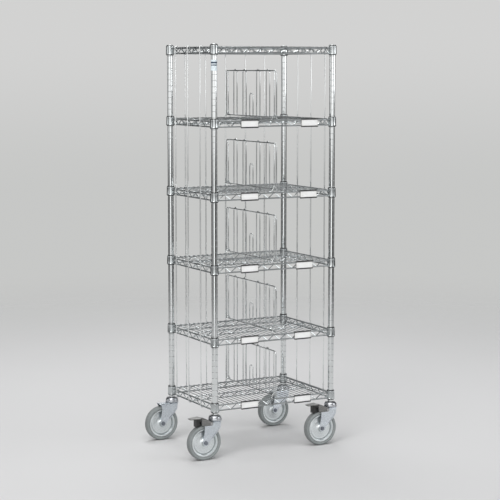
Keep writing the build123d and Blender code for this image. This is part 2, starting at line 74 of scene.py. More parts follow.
class Corner(Enum):
    """The four posts and their casters."""

    FRONT_LEFT = "front_left"
    FRONT_RIGHT = "front_right"
    BACK_LEFT = "back_left"
    BACK_RIGHT = "back_right"

    @property
    def is_front(self) -> bool:
        """True at the two posts on the open side, whose casters have a brake pedal."""
        return self in (Corner.FRONT_LEFT, Corner.FRONT_RIGHT)


# ------------------------------------------------------------------------------------------ surfaces


@dataclass
class Surface:
    """Points, four-cornered faces and a wear mask of one or more closed shapes.

    A triangle is a face that repeats one of its corners.
    """

    points: FloatArray
    faces: IntArray
    wear_and_shade: FloatArray

    def copies(self, offsets: FloatArray) -> "Surface":
        """Repeat the shape.

        Args:
            offsets: one row of three millimetre values for each copy.

        Returns:
            All the copies in one surface.
        """
        offsets = np.atleast_2d(np.asarray(offsets, float))
        count = len(self.points)
        points = (offsets[:, None, :] + self.points[None]).reshape(-1, 3)
        steps = count * np.arange(len(offsets))[:, None, None]
        faces = (self.faces[None] + steps).reshape(-1, 4)
        return Surface(points, faces, np.tile(self.wear_and_shade, len(offsets)))

    def flipped(self, axis: int) -> "Surface":
        """Mirror image across the plane square to one axis, with its faces turned to point outwards again."""
        sign = np.ones(3)
        sign[axis] = -1.0
        return Surface(self.points * sign, self.faces[:, ::-1], self.wear_and_shade)

    def worn_and_shaded(self, wear_and_shade: FloatArray | float) -> "Surface":
        """The same shape with this wear mask, one value for all points or one for each."""
        return Surface(self.points, self.faces, np.broadcast_to(wear_and_shade, len(self.points)).astype(float))


def joined(*surfaces: Surface) -> Surface:
    """Put several surfaces into one, with their faces renumbered."""
    starts = np.cumsum([0] + [len(s.points) for s in surfaces[:-1]])
    return Surface(
        np.concatenate([s.points for s in surfaces]),
        np.concatenate([s.faces + start for s, start in zip(surfaces, starts)]),
        np.concatenate([s.wear_and_shade for s in surfaces]),
    )


def closed_surface(points: FloatArray, faces: IntArray) -> Surface:
    """Close the seams of a shape and turn its faces outwards.

    Points nearer than a hundred-thousandth of a millimetre become one. The volume inside is the sum of
    a . (b x c) / 6 over the triangles, and the faces are reversed if it comes out negative.

    Args:
        points: one row for each point.
        faces: four point numbers for each face.

    Returns:
        The closed shape, with a wear mask of zero.
    """
    keys = np.round(points, 5)
    kept, index = np.unique(keys, axis=0, return_inverse=True)
    faces = index.reshape(-1)[faces]
    distinct = np.array([len(set(face)) > 2 for face in faces.tolist()])
    faces = faces[distinct]
    a, b, c, d = (kept[faces[:, i]] for i in range(4))
    volume = np.einsum("ij,ij->", a, np.cross(b, c)) + np.einsum("ij,ij->", a, np.cross(c, d))
    if volume < 0:
        faces = faces[:, ::-1]
    return Surface(kept, faces, np.zeros(len(kept)))


def grid_faces(rows: int, columns: int, wrap_rows: bool = False, wrap_columns: bool = False) -> IntArray:
    """Faces between neighbouring points of a grid that is numbered row by row.

    Args:
        rows: number of rows.
        columns: number of points in a row.
        wrap_rows: join the last row to the first.
        wrap_columns: join the last point of each row to its first.

    Returns:
        Four point numbers for each face.
    """
    r, c = np.meshgrid(
        np.arange(rows if wrap_rows else rows - 1),
        np.arange(columns if wrap_columns else columns - 1),
        indexing="ij",
    )
    r_next, c_next = (r + 1) % rows, (c + 1) % columns
    corners = [r * columns + c, r * columns + c_next, r_next * columns + c_next, r_next * columns + c]
    return np.stack(corners, -1).reshape(-1, 4)


def loft(rings: FloatArray, wrap: bool = False) -> Surface:
    """Skin over a row of closed rings.

    Unless the last ring joins the first, each end is closed by a fan to the middle of its ring.

    Args:
        rings: array of rings, points and coordinates.
        wrap: join the last ring to the first.

    Returns:
        The closed skin.
    """
    if not wrap:
        first = np.broadcast_to(rings[0].mean(axis=0), rings[0].shape)
        last = np.broadcast_to(rings[-1].mean(axis=0), rings[-1].shape)
        rings = np.concatenate([first[None], rings, last[None]])
    count, size = rings.shape[:2]
    return closed_surface(rings.reshape(-1, 3), grid_faces(count, size, wrap, True))


def sheet(outer: FloatArray, inner: FloatArray) -> Surface:
    """Closed wall between two matching open grids, joined all round their edge.

    Args:
        outer: rows, columns and coordinates of one side.
        inner: the same of the other side.

    Returns:
        The wall.
    """
    rows, columns = outer.shape[:2]
    size = rows * columns
    flat = grid_faces(rows, columns)
    number = np.arange(size).reshape(rows, columns)
    edge = np.concatenate([number[0, :-1], number[:-1, -1], number[-1, :0:-1], number[:0:-1, 0]])
    following = np.roll(edge, -1)
    rim = np.stack([following, edge, edge + size, following + size], -1)
    points = np.concatenate([outer.reshape(-1, 3), inner.reshape(-1, 3)])
    return closed_surface(points, np.concatenate([flat, flat[:, ::-1] + size, rim]))


def bend(corners: FloatArray, radius: FloatArray | float, steps: int = 5, closed: bool = False) -> FloatArray:
    """Line through corners that are rounded to arcs.

    At a corner P with unit directions a in and b out that turn by T, the arc starts at P - a r tan(T/2) and
    runs through start + r (a sin t + n (1 - cos t)), where n is the unit part of b square to a. An arc takes
    at most 0.48 of the shorter side beside it.

    Args:
        corners: one row for each corner, in two or three dimensions.
        radius: one radius, or one for each corner.
        steps: points on each arc.
        closed: the line returns to its first corner, which is rounded too.

    Returns:
        The points of the line.
    """
    corners = np.asarray(corners, float)
    inward = corners - np.roll(corners, 1, axis=0)
    outward = np.roll(corners, -1, axis=0) - corners
    length_in = np.linalg.norm(inward, axis=1)
    length_out = np.linalg.norm(outward, axis=1)
    a = inward / length_in[:, None]
    b = outward / length_out[:, None]
    cosine = np.clip((a * b).sum(axis=1), -1, 1)
    turn = np.arccos(cosine)
    side = b - a * cosine[:, None]
    n = side / np.maximum(np.linalg.norm(side, axis=1), 1e-9)[:, None]
    half = np.maximum(np.tan(turn / 2), 1e-6)
    r = np.minimum(radius, 0.48 * np.minimum(length_in, length_out) / half)
    start = corners - a * (r * half)[:, None]
    t = np.linspace(0, 1, steps)[None, :, None] * turn[:, None, None]
    arcs = start[:, None] + r[:, None, None] * (np.sin(t) * a[:, None] + (1 - np.cos(t)) * n[:, None])
    if closed:
        return arcs.reshape(-1, corners.shape[1])
    middle = arcs[1:-1].reshape(-1, corners.shape[1])
    return np.concatenate([corners[:1], middle, corners[-1:]])


def wire(path: FloatArray, radius: float, normal: FloatArray, sides: int = 10, crown: float = 0.6) -> Surface:
    """Round wire along a path that lies in a plane, with crowned ends.

    A ring's points are centre + r (normal cos a + (tangent x normal) sin a). At an end the rings shrink as
    r sin t while they stand back from the tip by crown r (1 - cos t).

    Args:
        path: points of the centre line.
        radius: the wire's radius.
        normal: unit vector square to the path's plane.
        sides: points on a ring.
        crown: how far the ends bulge, as a share of the radius.

    Returns:
        The closed wire.
    """
    path = np.asarray(path, float)
    spread = np.linspace(0, math.pi / 2, 4)
    back = crown * radius * (1 - np.cos(spread))
    head = path[1] - path[0]
    head = head / np.linalg.norm(head)
    tail = path[-1] - path[-2]
    tail = tail / np.linalg.norm(tail)
    centres = np.concatenate([path[0] + back[:, None] * head, path[1:-1], path[-1] - back[::-1, None] * tail])
    middle = np.full(len(path) - 2, radius)
    radii = np.concatenate([radius * np.sin(spread), middle, radius * np.sin(spread[::-1])])
    ahead = np.diff(centres, axis=0)
    ahead = ahead / np.maximum(np.linalg.norm(ahead, axis=1), 1e-9)[:, None]
    ahead[0], ahead[-1] = head, tail
    tangent = np.concatenate([ahead[:1], ahead[:-1] + ahead[1:], ahead[-1:]])
    tangent = tangent / np.linalg.norm(tangent, axis=1)[:, None]
    across = np.cross(tangent, normal)
    angle = np.linspace(0, 2 * math.pi, sides, endpoint=False)[None, :, None]
    ring = np.cos(angle) * normal[None, None] + np.sin(angle) * across[:, None]
    return loft(centres[:, None] + radii[:, None, None] * ring)


def straight_wire(start: FloatArray, end: FloatArray, radius: float, sides: int = 10) -> Surface:
    """Straight piece of wire from start to end, with crowned ends."""
    direction = np.asarray(end, float) - np.asarray(start, float)
    seed = X_AXIS if abs(direction[0]) < abs(direction[2]) + abs(direction[1]) * 0.5 else Z_AXIS
    normal = np.cross(direction, seed)
    if np.linalg.norm(normal) < 1e-6:
        normal = np.cross(direction, Y_AXIS)
    return wire(np.stack([start, end]), radius, normal / np.linalg.norm(normal), sides)


def turned(
    profile: FloatArray, centre: FloatArray, axis: FloatArray, sides: int, closed: bool = True
) -> Surface:
    """Shape turned about an axis.

    A point is centre + radius (e cos a + f sin a) + axis height, with e and f square to the axis.

    Args:
        profile: rows of radius and height. It runs from axis to axis unless it is closed.
        centre: point on the axis at height 0.
        axis: unit vector along the axis.
        sides: points round the axis.
        closed: the profile returns to its first point.

    Returns:
        The closed shape.
    """
    e = Y_AXIS if abs(axis[1]) < 0.5 else X_AXIS
    f = np.cross(axis, e)
    angle = np.linspace(0, 2 * math.pi, sides, endpoint=False)[:, None, None]
    around = np.cos(angle) * e + np.sin(angle) * f
    points = centre + profile[None, :, :1] * around + profile[None, :, 1:] * axis
    faces = grid_faces(sides, len(profile), True, closed)
    return closed_surface(points.reshape(-1, 3), faces)


def bead(centre: FloatArray, axis: FloatArray, radius: float, length: float) -> Surface:
    """Small egg-shaped bead of weld: half a circle turned about its axis, radius r sin t, height l cos t."""
    t = np.linspace(0, math.pi, 6)
    profile = np.stack([radius * np.sin(t), -0.5 * length * np.cos(t)], -1)
    return turned(profile, centre, axis, 8, closed=False)


def block(outline: FloatArray, axis: int, low: float, high: float, edge: float) -> Surface:
    """Flat solid with eased edges: an outline that its middle can see all of, carried along one axis.

    The outline shrinks towards its middle by the edge over that same distance at both ends.

    Args:
        outline: rows of the two coordinates that aren't the axis, in their own order.
        axis: number of the axis along which the outline is carried.
        low: start along the axis.
        high: end along the axis.
        edge: size of the eased edge.

    Returns:
        The closed solid.
    """
    middle = outline.mean(axis=0)
    reach = np.linalg.norm(outline - middle, axis=1, keepdims=True)
    t = np.linspace(0, math.pi / 2, 4)
    inset = np.concatenate([1 - np.sin(t), 1 - np.sin(t[::-1])]) * edge
    place = np.concatenate([low + edge * (1 - np.cos(t)), high - edge * (1 - np.cos(t[::-1]))])
    scaled = middle + (outline - middle) * (1 - inset[:, None, None] / reach[None])
    rings = np.insert(scaled, axis, place[:, None], axis=2)
    return loft(rings)


def smooth_step(value: FloatArray) -> FloatArray:
    """Rise from 0 to 1 as 3 v^2 - 2 v^3, held outside that range."""
    v = np.clip(value, 0, 1)
    return v * v * (3 - 2 * v)


# ------------------------------------------------------------------------------------------ finishes


SMOOTH = "SMOOTHSTEP"

# Socket numbers of a Mix node, whose socket names repeat for each kind of value.
MIX_FACTOR = 0
MIX_NUMBER_A, MIX_NUMBER_B, MIX_NUMBER_OUT = 2, 3, 0
MIX_COLOUR_A, MIX_COLOUR_B, MIX_COLOUR_OUT = 6, 7, 2


@dataclass
class Wiring:
    """Places and joins nodes in one node tree."""

    tree: bpy.types.NodeTree

    def node(self, kind: str, **values: object) -> bpy.types.Node:
        """Add a node.

        Args:
            kind: the node's type.
            values: properties by name, and input values by socket name with underscores for spaces.

        Returns:
            The node.
        """
        made = self.tree.nodes.new(kind)
        for key, value in values.items():
            if key in made.bl_rna.properties:
                setattr(made, key, value)
            else:
                made.inputs[key.replace("_", " ")].default_value = value
        return made

    def group(self, tree: bpy.types.NodeTree, **values: object) -> bpy.types.Node:
        """Place a shared node group with its own input values."""
        return self.node("ShaderNodeGroup", node_tree=tree, **values)

    def join(self, *rows: tuple[bpy.types.Node, str | int, bpy.types.Node, str | int]) -> None:
        """Join outputs to inputs. A row is a node and its output, then a node and its input."""
        for source, output, target, socket in rows:
            self.tree.links.new(source.outputs[output], target.inputs[socket])


class Socket(Enum):
    """The kinds of socket that the shared groups have."""

    NUMBER = "NodeSocketFloat"
    VECTOR = "NodeSocketVector"
    COLOUR = "NodeSocketColor"


def new_group(
    name: str, inputs: dict[str, Socket], outputs: dict[str, Socket]
) -> tuple[Wiring, bpy.types.Node, bpy.types.Node]:
    """Start a shared node group.

    Args:
        name: the group's name.
        inputs: its input sockets.
        outputs: its output sockets.

    Returns:
        Its wiring, its input node and its output node.
    """
    tree = bpy.data.node_groups.new(name, "ShaderNodeTree")
    for direction, sockets in (("INPUT", inputs), ("OUTPUT", outputs)):
        for title, kind in sockets.items():
            tree.interface.new_socket(name=title, in_out=direction, socket_type=kind.value)
    wiring = Wiring(tree)
    return wiring, wiring.node("NodeGroupInput"), wiring.node("NodeGroupOutput")


@dataclass
class Effects:
    """The shared effects: fine grain, turned rings, cloudy tone and wear."""

    grain: bpy.types.NodeTree = field(init=False)
    rings: bpy.types.NodeTree = field(init=False)
    tone: bpy.types.NodeTree = field(init=False)
    wear_and_shade: bpy.types.NodeTree = field(init=False)

    def __post_init__(self) -> None:
        """Build each group once."""
        self.grain = self._build_grain("fine_grain", False, Detail=4.0, Roughness=0.6)
        self.rings = self._build_grain("turned_rings", True, noise_dimensions="1D", Detail=3.0, Roughness=0.7)
        self.tone = self._build_tone()
        self.wear_and_shade = self._build_wear_and_shade()

    @staticmethod
    def _build_grain(name: str, by_distance: bool, **texture: object) -> bpy.types.NodeTree:
        """Noise at a given scale, spread between a low and a high value.

        Args:
            name: the group's name.
            by_distance: the noise depends only on the distance from the axle, as the marks of turning do.
            texture: settings of the noise.

        Returns:
            The group.
        """
        numbers = dict.fromkeys(("Scale", "Low", "High"), Socket.NUMBER)
        outputs = dict.fromkeys(("Value", "Height"), Socket.NUMBER)
        wiring, source, sink = new_group(name, {"Vector": Socket.VECTOR, **numbers}, outputs)
        noise = wiring.node("ShaderNodeTexNoise", **texture)
        spread = wiring.node("ShaderNodeMapRange", From_Min=0.3, From_Max=0.7)
        if by_distance:
            length = wiring.node("ShaderNodeVectorMath", operation="LENGTH")
            wiring.join((source, "Vector", length, 0), (length, "Value", noise, "W"))
        else:
            wiring.join((source, "Vector", noise, "Vector"))
        wiring.join(
            (source, "Scale", noise, "Scale"),
            (noise, "Fac", spread, "Value"),
            (source, "Low", spread, "To Min"),
            (source, "High", spread, "To Max"),
            (spread, "Result", sink, "Value"),
            (noise, "Fac", sink, "Height"),
        )
        return wiring.tree

    @staticmethod
    def _build_tone() -> bpy.types.NodeTree:
        """Slow clouds that carry one colour partly over to another."""
        numbers = dict.fromkeys(("Scale", "Amount"), Socket.NUMBER)
        colours = dict.fromkeys(("Colour", "Cloud"), Socket.COLOUR)
        wiring, source, sink = new_group(
            "cloudy_tone",
            {"Vector": Socket.VECTOR, **numbers, **colours},
            {"Colour": Socket.COLOUR, "Mask": Socket.NUMBER},
        )
        noise = wiring.node("ShaderNodeTexNoise", Detail=3.0, Roughness=0.55)
        spread = wiring.node("ShaderNodeMapRange", interpolation_type=SMOOTH, From_Min=0.42, From_Max=0.68)
        mix = wiring.node("ShaderNodeMix", data_type="RGBA")
        wiring.join(
            (source, "Vector", noise, "Vector"),
            (source, "Scale", noise, "Scale"),
            (noise, "Fac", spread, "Value"),
            (source, "Amount", spread, "To Max"),
            (spread, "Result", mix, MIX_FACTOR),
            (source, "Colour", mix, MIX_COLOUR_A),
            (source, "Cloud", mix, MIX_COLOUR_B),
            (mix, MIX_COLOUR_OUT, sink, "Colour"),
            (spread, "Result", sink, "Mask"),
        )
        return wiring.tree

    @staticmethod
    def _build_wear_and_shade() -> bpy.types.NodeTree:
        """Wear and painted shade: the piece's own mask, broken up by noise, carries the colour and the
        roughness over.
        """
        numbers = dict.fromkeys(("Mask", "Scale", "Roughness", "Worn Roughness"), Socket.NUMBER)
        colours = dict.fromkeys(("Colour", "Worn"), Socket.COLOUR)
        wiring, source, sink = new_group(
            "wear_and_painted_shade",
            {"Vector": Socket.VECTOR, **numbers, **colours},
            {"Colour": Socket.COLOUR, "Roughness": Socket.NUMBER, "Mask": Socket.NUMBER},
        )
        noise = wiring.node("ShaderNodeTexNoise", Detail=5.0, Roughness=0.65)
        lift = wiring.node("ShaderNodeMapRange", From_Min=0.25, From_Max=0.6, To_Min=0.35, To_Max=1.0)
        amount = wiring.node("ShaderNodeMath", operation="MULTIPLY", use_clamp=True)
        colour = wiring.node("ShaderNodeMix", data_type="RGBA")
        rough = wiring.node("ShaderNodeMix", data_type="FLOAT")
        wiring.join(
            (source, "Vector", noise, "Vector"),
            (source, "Scale", noise, "Scale"),
            (noise, "Fac", lift, "Value"),
            (lift, "Result", amount, 0),
            (source, "Mask", amount, 1),
            (amount, "Value", colour, MIX_FACTOR),
            (source, "Colour", colour, MIX_COLOUR_A),
            (source, "Worn", colour, MIX_COLOUR_B),
            (amount, "Value", rough, MIX_FACTOR),
            (source, "Roughness", rough, MIX_NUMBER_A),
            (source, "Worn Roughness", rough, MIX_NUMBER_B),
            (colour, MIX_COLOUR_OUT, sink, "Colour"),
            (rough, MIX_NUMBER_OUT, sink, "Roughness"),
            (amount, "Value", sink, "Mask"),
        )
        return wiring.tree


def opaque(colour: Colour) -> tuple[float, float, float, float]:
    """The colour with full alpha."""
    return (*colour, 1.0)


def new_material(name: str) -> tuple[bpy.types.Material, Wiring, bpy.types.Node, bpy.types.Node]:
    """Start a material.

    Args:
        name: the material's name.

    Returns:
        The material, its wiring, its Principled shader and its node of coordinates.
    """
    material = bpy.data.materials.new(name)
    material.use_nodes = True
    wiring = Wiring(material.node_tree)
    shader = material.node_tree.nodes["Principled BSDF"]
    return material, wiring, shader, wiring.node("ShaderNodeTexCoord")


@dataclass(frozen=True)
class Finish:
    """What metal and mouldings share: cloudy tone, grain in the gloss and relief, and wear by the mask."""

    name: str
    colour: Colour
    cloud: Colour
    worn_and_shaded: Colour
    roughness: tuple[float, float]
    worn_roughness: float = 0.45
    wear_scale: float = 260.0
    cloud_scale: float = 14.0
    cloud_amount: float = 0.5
    grain_scale: float = 220.0
    bump: float = 0.05
    relief: float = 0.0004
    metallic: float = 1.0
    specular: float = 0.5
    sheen: float = 0.0

    def build(self, effects: Effects, axle: FloatArray | None = None) -> bpy.types.Material:
        """Build the material.

        Args:
            effects: the shared node groups.
            axle: a point on the axle that the grain runs round in rings, in millimetres.

        Returns:
            The material.
        """
        material, wiring, shader, place = new_material(self.name)
        mask = wiring.node("ShaderNodeAttribute", attribute_name=WEAR_AND_SHADE)
        tone = wiring.group(
            effects.tone,
            Scale=self.cloud_scale,
            Amount=self.cloud_amount,
            Colour=opaque(self.colour),
            Cloud=opaque(self.cloud),
        )
        low, high = self.roughness
        texture = effects.grain if axle is None else effects.rings
        grain = wiring.group(texture, Scale=self.grain_scale, Low=low, High=high)
        wear_and_shade = wiring.group(
            effects.wear_and_shade, Scale=self.wear_scale, Worn=opaque(self.worn_and_shaded), Worn_Roughness=self.worn_roughness
        )
        bump = wiring.node("ShaderNodeBump", Strength=self.bump, Distance=self.relief)
        wiring.join(
            (place, "Object", tone, "Vector"),
            (place, "Object", wear_and_shade, "Vector"),
            (mask, "Fac", wear_and_shade, "Mask"),
            (tone, "Colour", wear_and_shade, "Colour"),
            (grain, "Value", wear_and_shade, "Roughness"),
            (wear_and_shade, "Colour", shader, "Base Color"),
            (wear_and_shade, "Roughness", shader, "Roughness"),
            (grain, "Height", bump, "Height"),
            (bump, "Normal", shader, "Normal"),
        )
        if axle is None:
            wiring.join((place, "Object", grain, "Vector"))
        else:
            in_plane = np.array([1.0, 0.0, 1.0])
            about = wiring.node("ShaderNodeMapping", vector_type="POINT")
            about.inputs["Location"].default_value = tuple(-axle / METRE * in_plane)
            about.inputs["Scale"].default_value = tuple(in_plane)
            wiring.join((place, "Object", about, "Vector"), (about, "Vector", grain, "Vector"))
        shader.inputs["Metallic"].default_value = self.metallic
        shader.inputs["Specular IOR Level"].default_value = self.specular
        shader.inputs["Sheen Weight"].default_value = self.sheen
        return material


@dataclass(frozen=True)
class MetalFinish(Finish):
    """Plated or bare metal."""


@dataclass(frozen=True)
class TurnedFinish(Finish):
    """Metal turned on an axle, with fine rings in its gloss and relief."""

    worn_roughness: float = 0.55
    wear_scale: float = 300.0
    cloud_scale: float = 22.0
    cloud_amount: float = 0.6
    grain_scale: float = 700.0
    bump: float = 0.12
    relief: float = 0.0003
    metallic: float = 0.9


@dataclass(frozen=True)
class MouldedFinish(Finish):
    """Moulded plastic, rubber or paper."""

    worn_roughness: float = 0.85
    wear_scale: float = 150.0
    cloud_scale: float = 30.0
    cloud_amount: float = 0.7
    grain_scale: float = 900.0
    bump: float = 0.2
    relief: float = 0.0003
    metallic: float = 0.0


@dataclass(frozen=True)
class BandFinish:
    """Film printed in plain level bands, read from the piece's own height mask."""

    name: str
    film: Colour
    band: Colour
    cloud: Colour
    stops: tuple[float, ...]

    def build(self, effects: Effects) -> bpy.types.Material:
        """Build the material.

        Args:
            effects: the shared node groups.

        Returns:
            The material.
        """
        material, wiring, shader, place = new_material(self.name)
        height = wiring.node("ShaderNodeAttribute", attribute_name=WEAR_AND_SHADE)
        ramp = wiring.node("ShaderNodeValToRGB")
        ramp.color_ramp.interpolation = "CONSTANT"
        first, second = ramp.color_ramp.elements
        first.color = opaque(self.film)
        second.position = self.stops[0]
        second.color = opaque(self.band)
        for number, stop in enumerate(self.stops[1:]):
            ramp.color_ramp.elements.new(stop).color = opaque(self.film if number % 2 == 0 else self.band)
        tone = wiring.group(effects.tone, Scale=60.0, Amount=0.25, Cloud=opaque(self.cloud))
        grain = wiring.group(effects.grain, Scale=400.0, Low=0.28, High=0.42)
        wiring.join(
            (height, "Fac", ramp, "Fac"),
            (place, "Object", tone, "Vector"),
            (place, "Object", grain, "Vector"),
            (ramp, "Color", tone, "Colour"),
            (tone, "Colour", shader, "Base Color"),
            (grain, "Value", shader, "Roughness"),
        )
        return material


WELD_TINT: Colour = (0.26, 0.27, 0.275)

# Its third colour is painted shade, put on the floors of the post grooves.
POST_CHROME = MetalFinish(
    "post_plating", (0.78, 0.80, 0.80), (0.69, 0.71, 0.715), (0.48, 0.49, 0.49), (0.05, 0.1),
    worn_roughness=0.3, bump=0.015,
)
CAP_CHROME = MetalFinish(
    "cap_plating", (0.74, 0.765, 0.77), (0.64, 0.665, 0.675), (0.4, 0.4, 0.41), (0.12, 0.22)
)
SHELF_CHROME = MetalFinish("shelf_plating", (0.62, 0.65, 0.655), (0.50, 0.525, 0.53), WELD_TINT, (0.07, 0.14))
ROD_CHROME = MetalFinish(
    "rod_plating", (0.92, 0.935, 0.93), (0.84, 0.855, 0.855), WELD_TINT, (0.05, 0.1), bump=0.02
)
DIVIDER_CHROME = MetalFinish(
    "divider_plating", (0.66, 0.68, 0.68), (0.56, 0.58, 0.58), WELD_TINT, (0.05, 0.1), bump=0.02
)
STEM_STEEL = MetalFinish(
    "bare_stem_steel", (0.52, 0.52, 0.53), (0.44, 0.44, 0.45), (0.3, 0.29, 0.28), (0.28, 0.4)
)
BEARING_STEEL = MetalFinish(
    "polished_ball_steel", (0.58, 0.57, 0.55), (0.48, 0.47, 0.45), (0.3, 0.28, 0.25), (0.18, 0.3)
)
# Its third colour is painted: a dark reflection towards the dome's crest, and shade on the underside inside
# the skirt.
DOME_ZINC = MetalFinish(
    "dome_plating", (0.56, 0.575, 0.60), (0.44, 0.455, 0.48), (0.26, 0.265, 0.28), (0.2, 0.32),
    cloud_scale=34.0,
)
FORK_ZINC = MetalFinish(
    "fork_plating", (0.70, 0.745, 0.79), (0.62, 0.665, 0.72), (0.56, 0.58, 0.61), (0.2, 0.3), cloud_scale=38.0
)
BOLT_ZINC = MetalFinish(
    "bolt_plating", (0.24, 0.26, 0.29), (0.18, 0.19, 0.22), (0.12, 0.12, 0.13), (0.25, 0.4)
)
PEDAL_PAINT = MetalFinish(
    "pedal_enamel", (0.055, 0.055, 0.054), (0.04, 0.04, 0.04), (0.52, 0.52, 0.51), (0.3, 0.45),
    cloud_scale=40.0, metallic=0.75,
)
# Its third colour is painted shade: a dark line in the groove of the disc; the hub also takes it, more
# towards the axle.
WHEEL_ZINC = TurnedFinish(
    "wheel_plating", (0.80, 0.84, 0.85), (0.73, 0.77, 0.78), (0.22, 0.24, 0.245), (0.24, 0.36)
)
GREY_TYRE = MouldedFinish(
    "tyre_rubber", (0.285, 0.31, 0.31), (0.235, 0.255, 0.255), (0.19, 0.2, 0.2), (0.5, 0.68), specular=0.4
)
SLEEVE_PLASTIC = MouldedFinish(
    "sleeve_moulding", (0.018, 0.018, 0.019), (0.012, 0.012, 0.013), (0.06, 0.06, 0.06), (0.5, 0.65),
    specular=0.25,
)
BUSH_PLASTIC = MouldedFinish(
    "bush_moulding", (0.10, 0.10, 0.105), (0.075, 0.075, 0.08), (0.2, 0.2, 0.2), (0.35, 0.48)
)
HOLDER_PLASTIC = MouldedFinish(
    "holder_moulding", (0.022, 0.022, 0.023), (0.015, 0.015, 0.016), (0.1, 0.1, 0.1), (0.5, 0.65),
    bump=0.1, specular=0.25,
)
LABEL_CARD = MouldedFinish(
    "card_stock", (0.93, 0.935, 0.93), (0.89, 0.89, 0.88), (0.78, 0.77, 0.75), (0.55, 0.7),
    grain_scale=1500.0, bump=0.15, sheen=0.05,
)
STICKER_FILM = BandFinish(
    "sticker_print", (0.76, 0.86, 0.91), (0.03, 0.055, 0.09), (0.55, 0.56, 0.57), (0.46, 0.56, 0.66, 0.82)
)


# ------------------------------------------------------------------------------------------ pieces


def to_object(
    name: str, surface: Surface, material: bpy.types.Material, sharp: float = CRISP
) -> bpy.types.Object:
    """Turn a surface into a Blender object at the origin.

    Args:
        name: the piece's name.
        surface: its shape, in millimetres.
        material: its finish.
        sharp: edges that turn by more than this many degrees stay crisp.

    Returns:
        The object.
    """
    faces = surface.faces
    following = np.roll(faces, -1, axis=1)
    keep = faces != following
    corners = faces[keep]
    totals = keep.sum(axis=1)
    mesh = bpy.data.meshes.new(name)
    mesh.vertices.add(len(surface.points))
    mesh.vertices.foreach_set("co", (surface.points / METRE).astype(np.float32).ravel())
    mesh.loops.add(len(corners))
    mesh.loops.foreach_set("vertex_index", corners.astype(np.int32))
    mesh.polygons.add(len(totals))
    mesh.polygons.foreach_set("loop_start", np.concatenate([[0], np.cumsum(totals)[:-1]]).astype(np.int32))
    mesh.update(calc_edges=True)
    mesh.validate()
    mask = mesh.attributes.new(WEAR_AND_SHADE, "FLOAT", "POINT")
    mask.data.foreach_set("value", surface.wear_and_shade.astype(np.float32))
    mesh.shade_smooth()
    mesh.set_sharp_from_angle(angle=math.radians(sharp))
    mesh.materials.append(material)
    made = bpy.data.objects.new(name, mesh)
    bpy.context.scene.collection.objects.link(made)
    return made


def add_piece(
    name: str,
    surface: Surface,
    material: bpy.types.Material,
    slot: str,
    body: str,
    *nodes: str,
    sharp: float = CRISP,
) -> bpy.types.Object:
    """Make a piece, let it ride on its body and let it stand for its CAD nodes.

    Args:
        name: the piece's name.
        surface: its shape.
        material: its finish.
        slot: not used.
        body: the CAD body it moves with.
        nodes: the CAD nodes it stands for.
        sharp: edges that turn by more than this many degrees stay crisp.

    Returns:
        The object.
    """
    made = to_object(name, surface, material, sharp)
    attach(made, body)
    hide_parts(*nodes)
    LOG.info("%s: %d faces on %s", name, len(surface.faces), body)
    return made


def dress_node(node: str, material: bpy.types.Material) -> None:
    """Give a CAD node that keeps its shape a finish."""
    materials = frame["nodes"][node].data.materials
    materials.clear()
    materials.append(material)
    LOG.info("%s: keeps its shape, finish %s", node, material.name)


def box_of(node: str) -> tuple[FloatArray, FloatArray]:
    """Lowest and highest corner of a CAD node, in millimetres."""
    low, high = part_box(node)
    return np.array(low) * METRE, np.array(high) * METRE


@dataclass
class Layout:
    """Where the posts stand and the shelves lie, read from the CAD frame.

    The sides are the posts' places in X and Y, and the middle is halfway between them in X.
    """

    shelf_count: int = 6
    posts: dict[Corner, FloatArray] = field(init=False)
    levels: list[float] = field(init=False)
    left: float = field(init=False)
    right: float = field(init=False)
    front: float = field(init=False)
    back: float = field(init=False)
    middle: float = field(init=False)

    def __post_init__(self) -> None:
        """Read the places from the CAD nodes."""
        self.posts = {}
        for corner in Corner:
            low, high = box_of(f"post_{corner.value}")
            self.posts[corner] = (low + high) / 2 * np.array([1, 1, 0])
        self.levels = [box_of(f"shelf_{number}")[0][2] for number in range(1, self.shelf_count + 1)]
        self.left, self.front = self.posts[Corner.FRONT_LEFT][:2].tolist()
        self.right, self.back = self.posts[Corner.BACK_RIGHT][:2].tolist()
        self.middle = (self.left + self.right) / 2


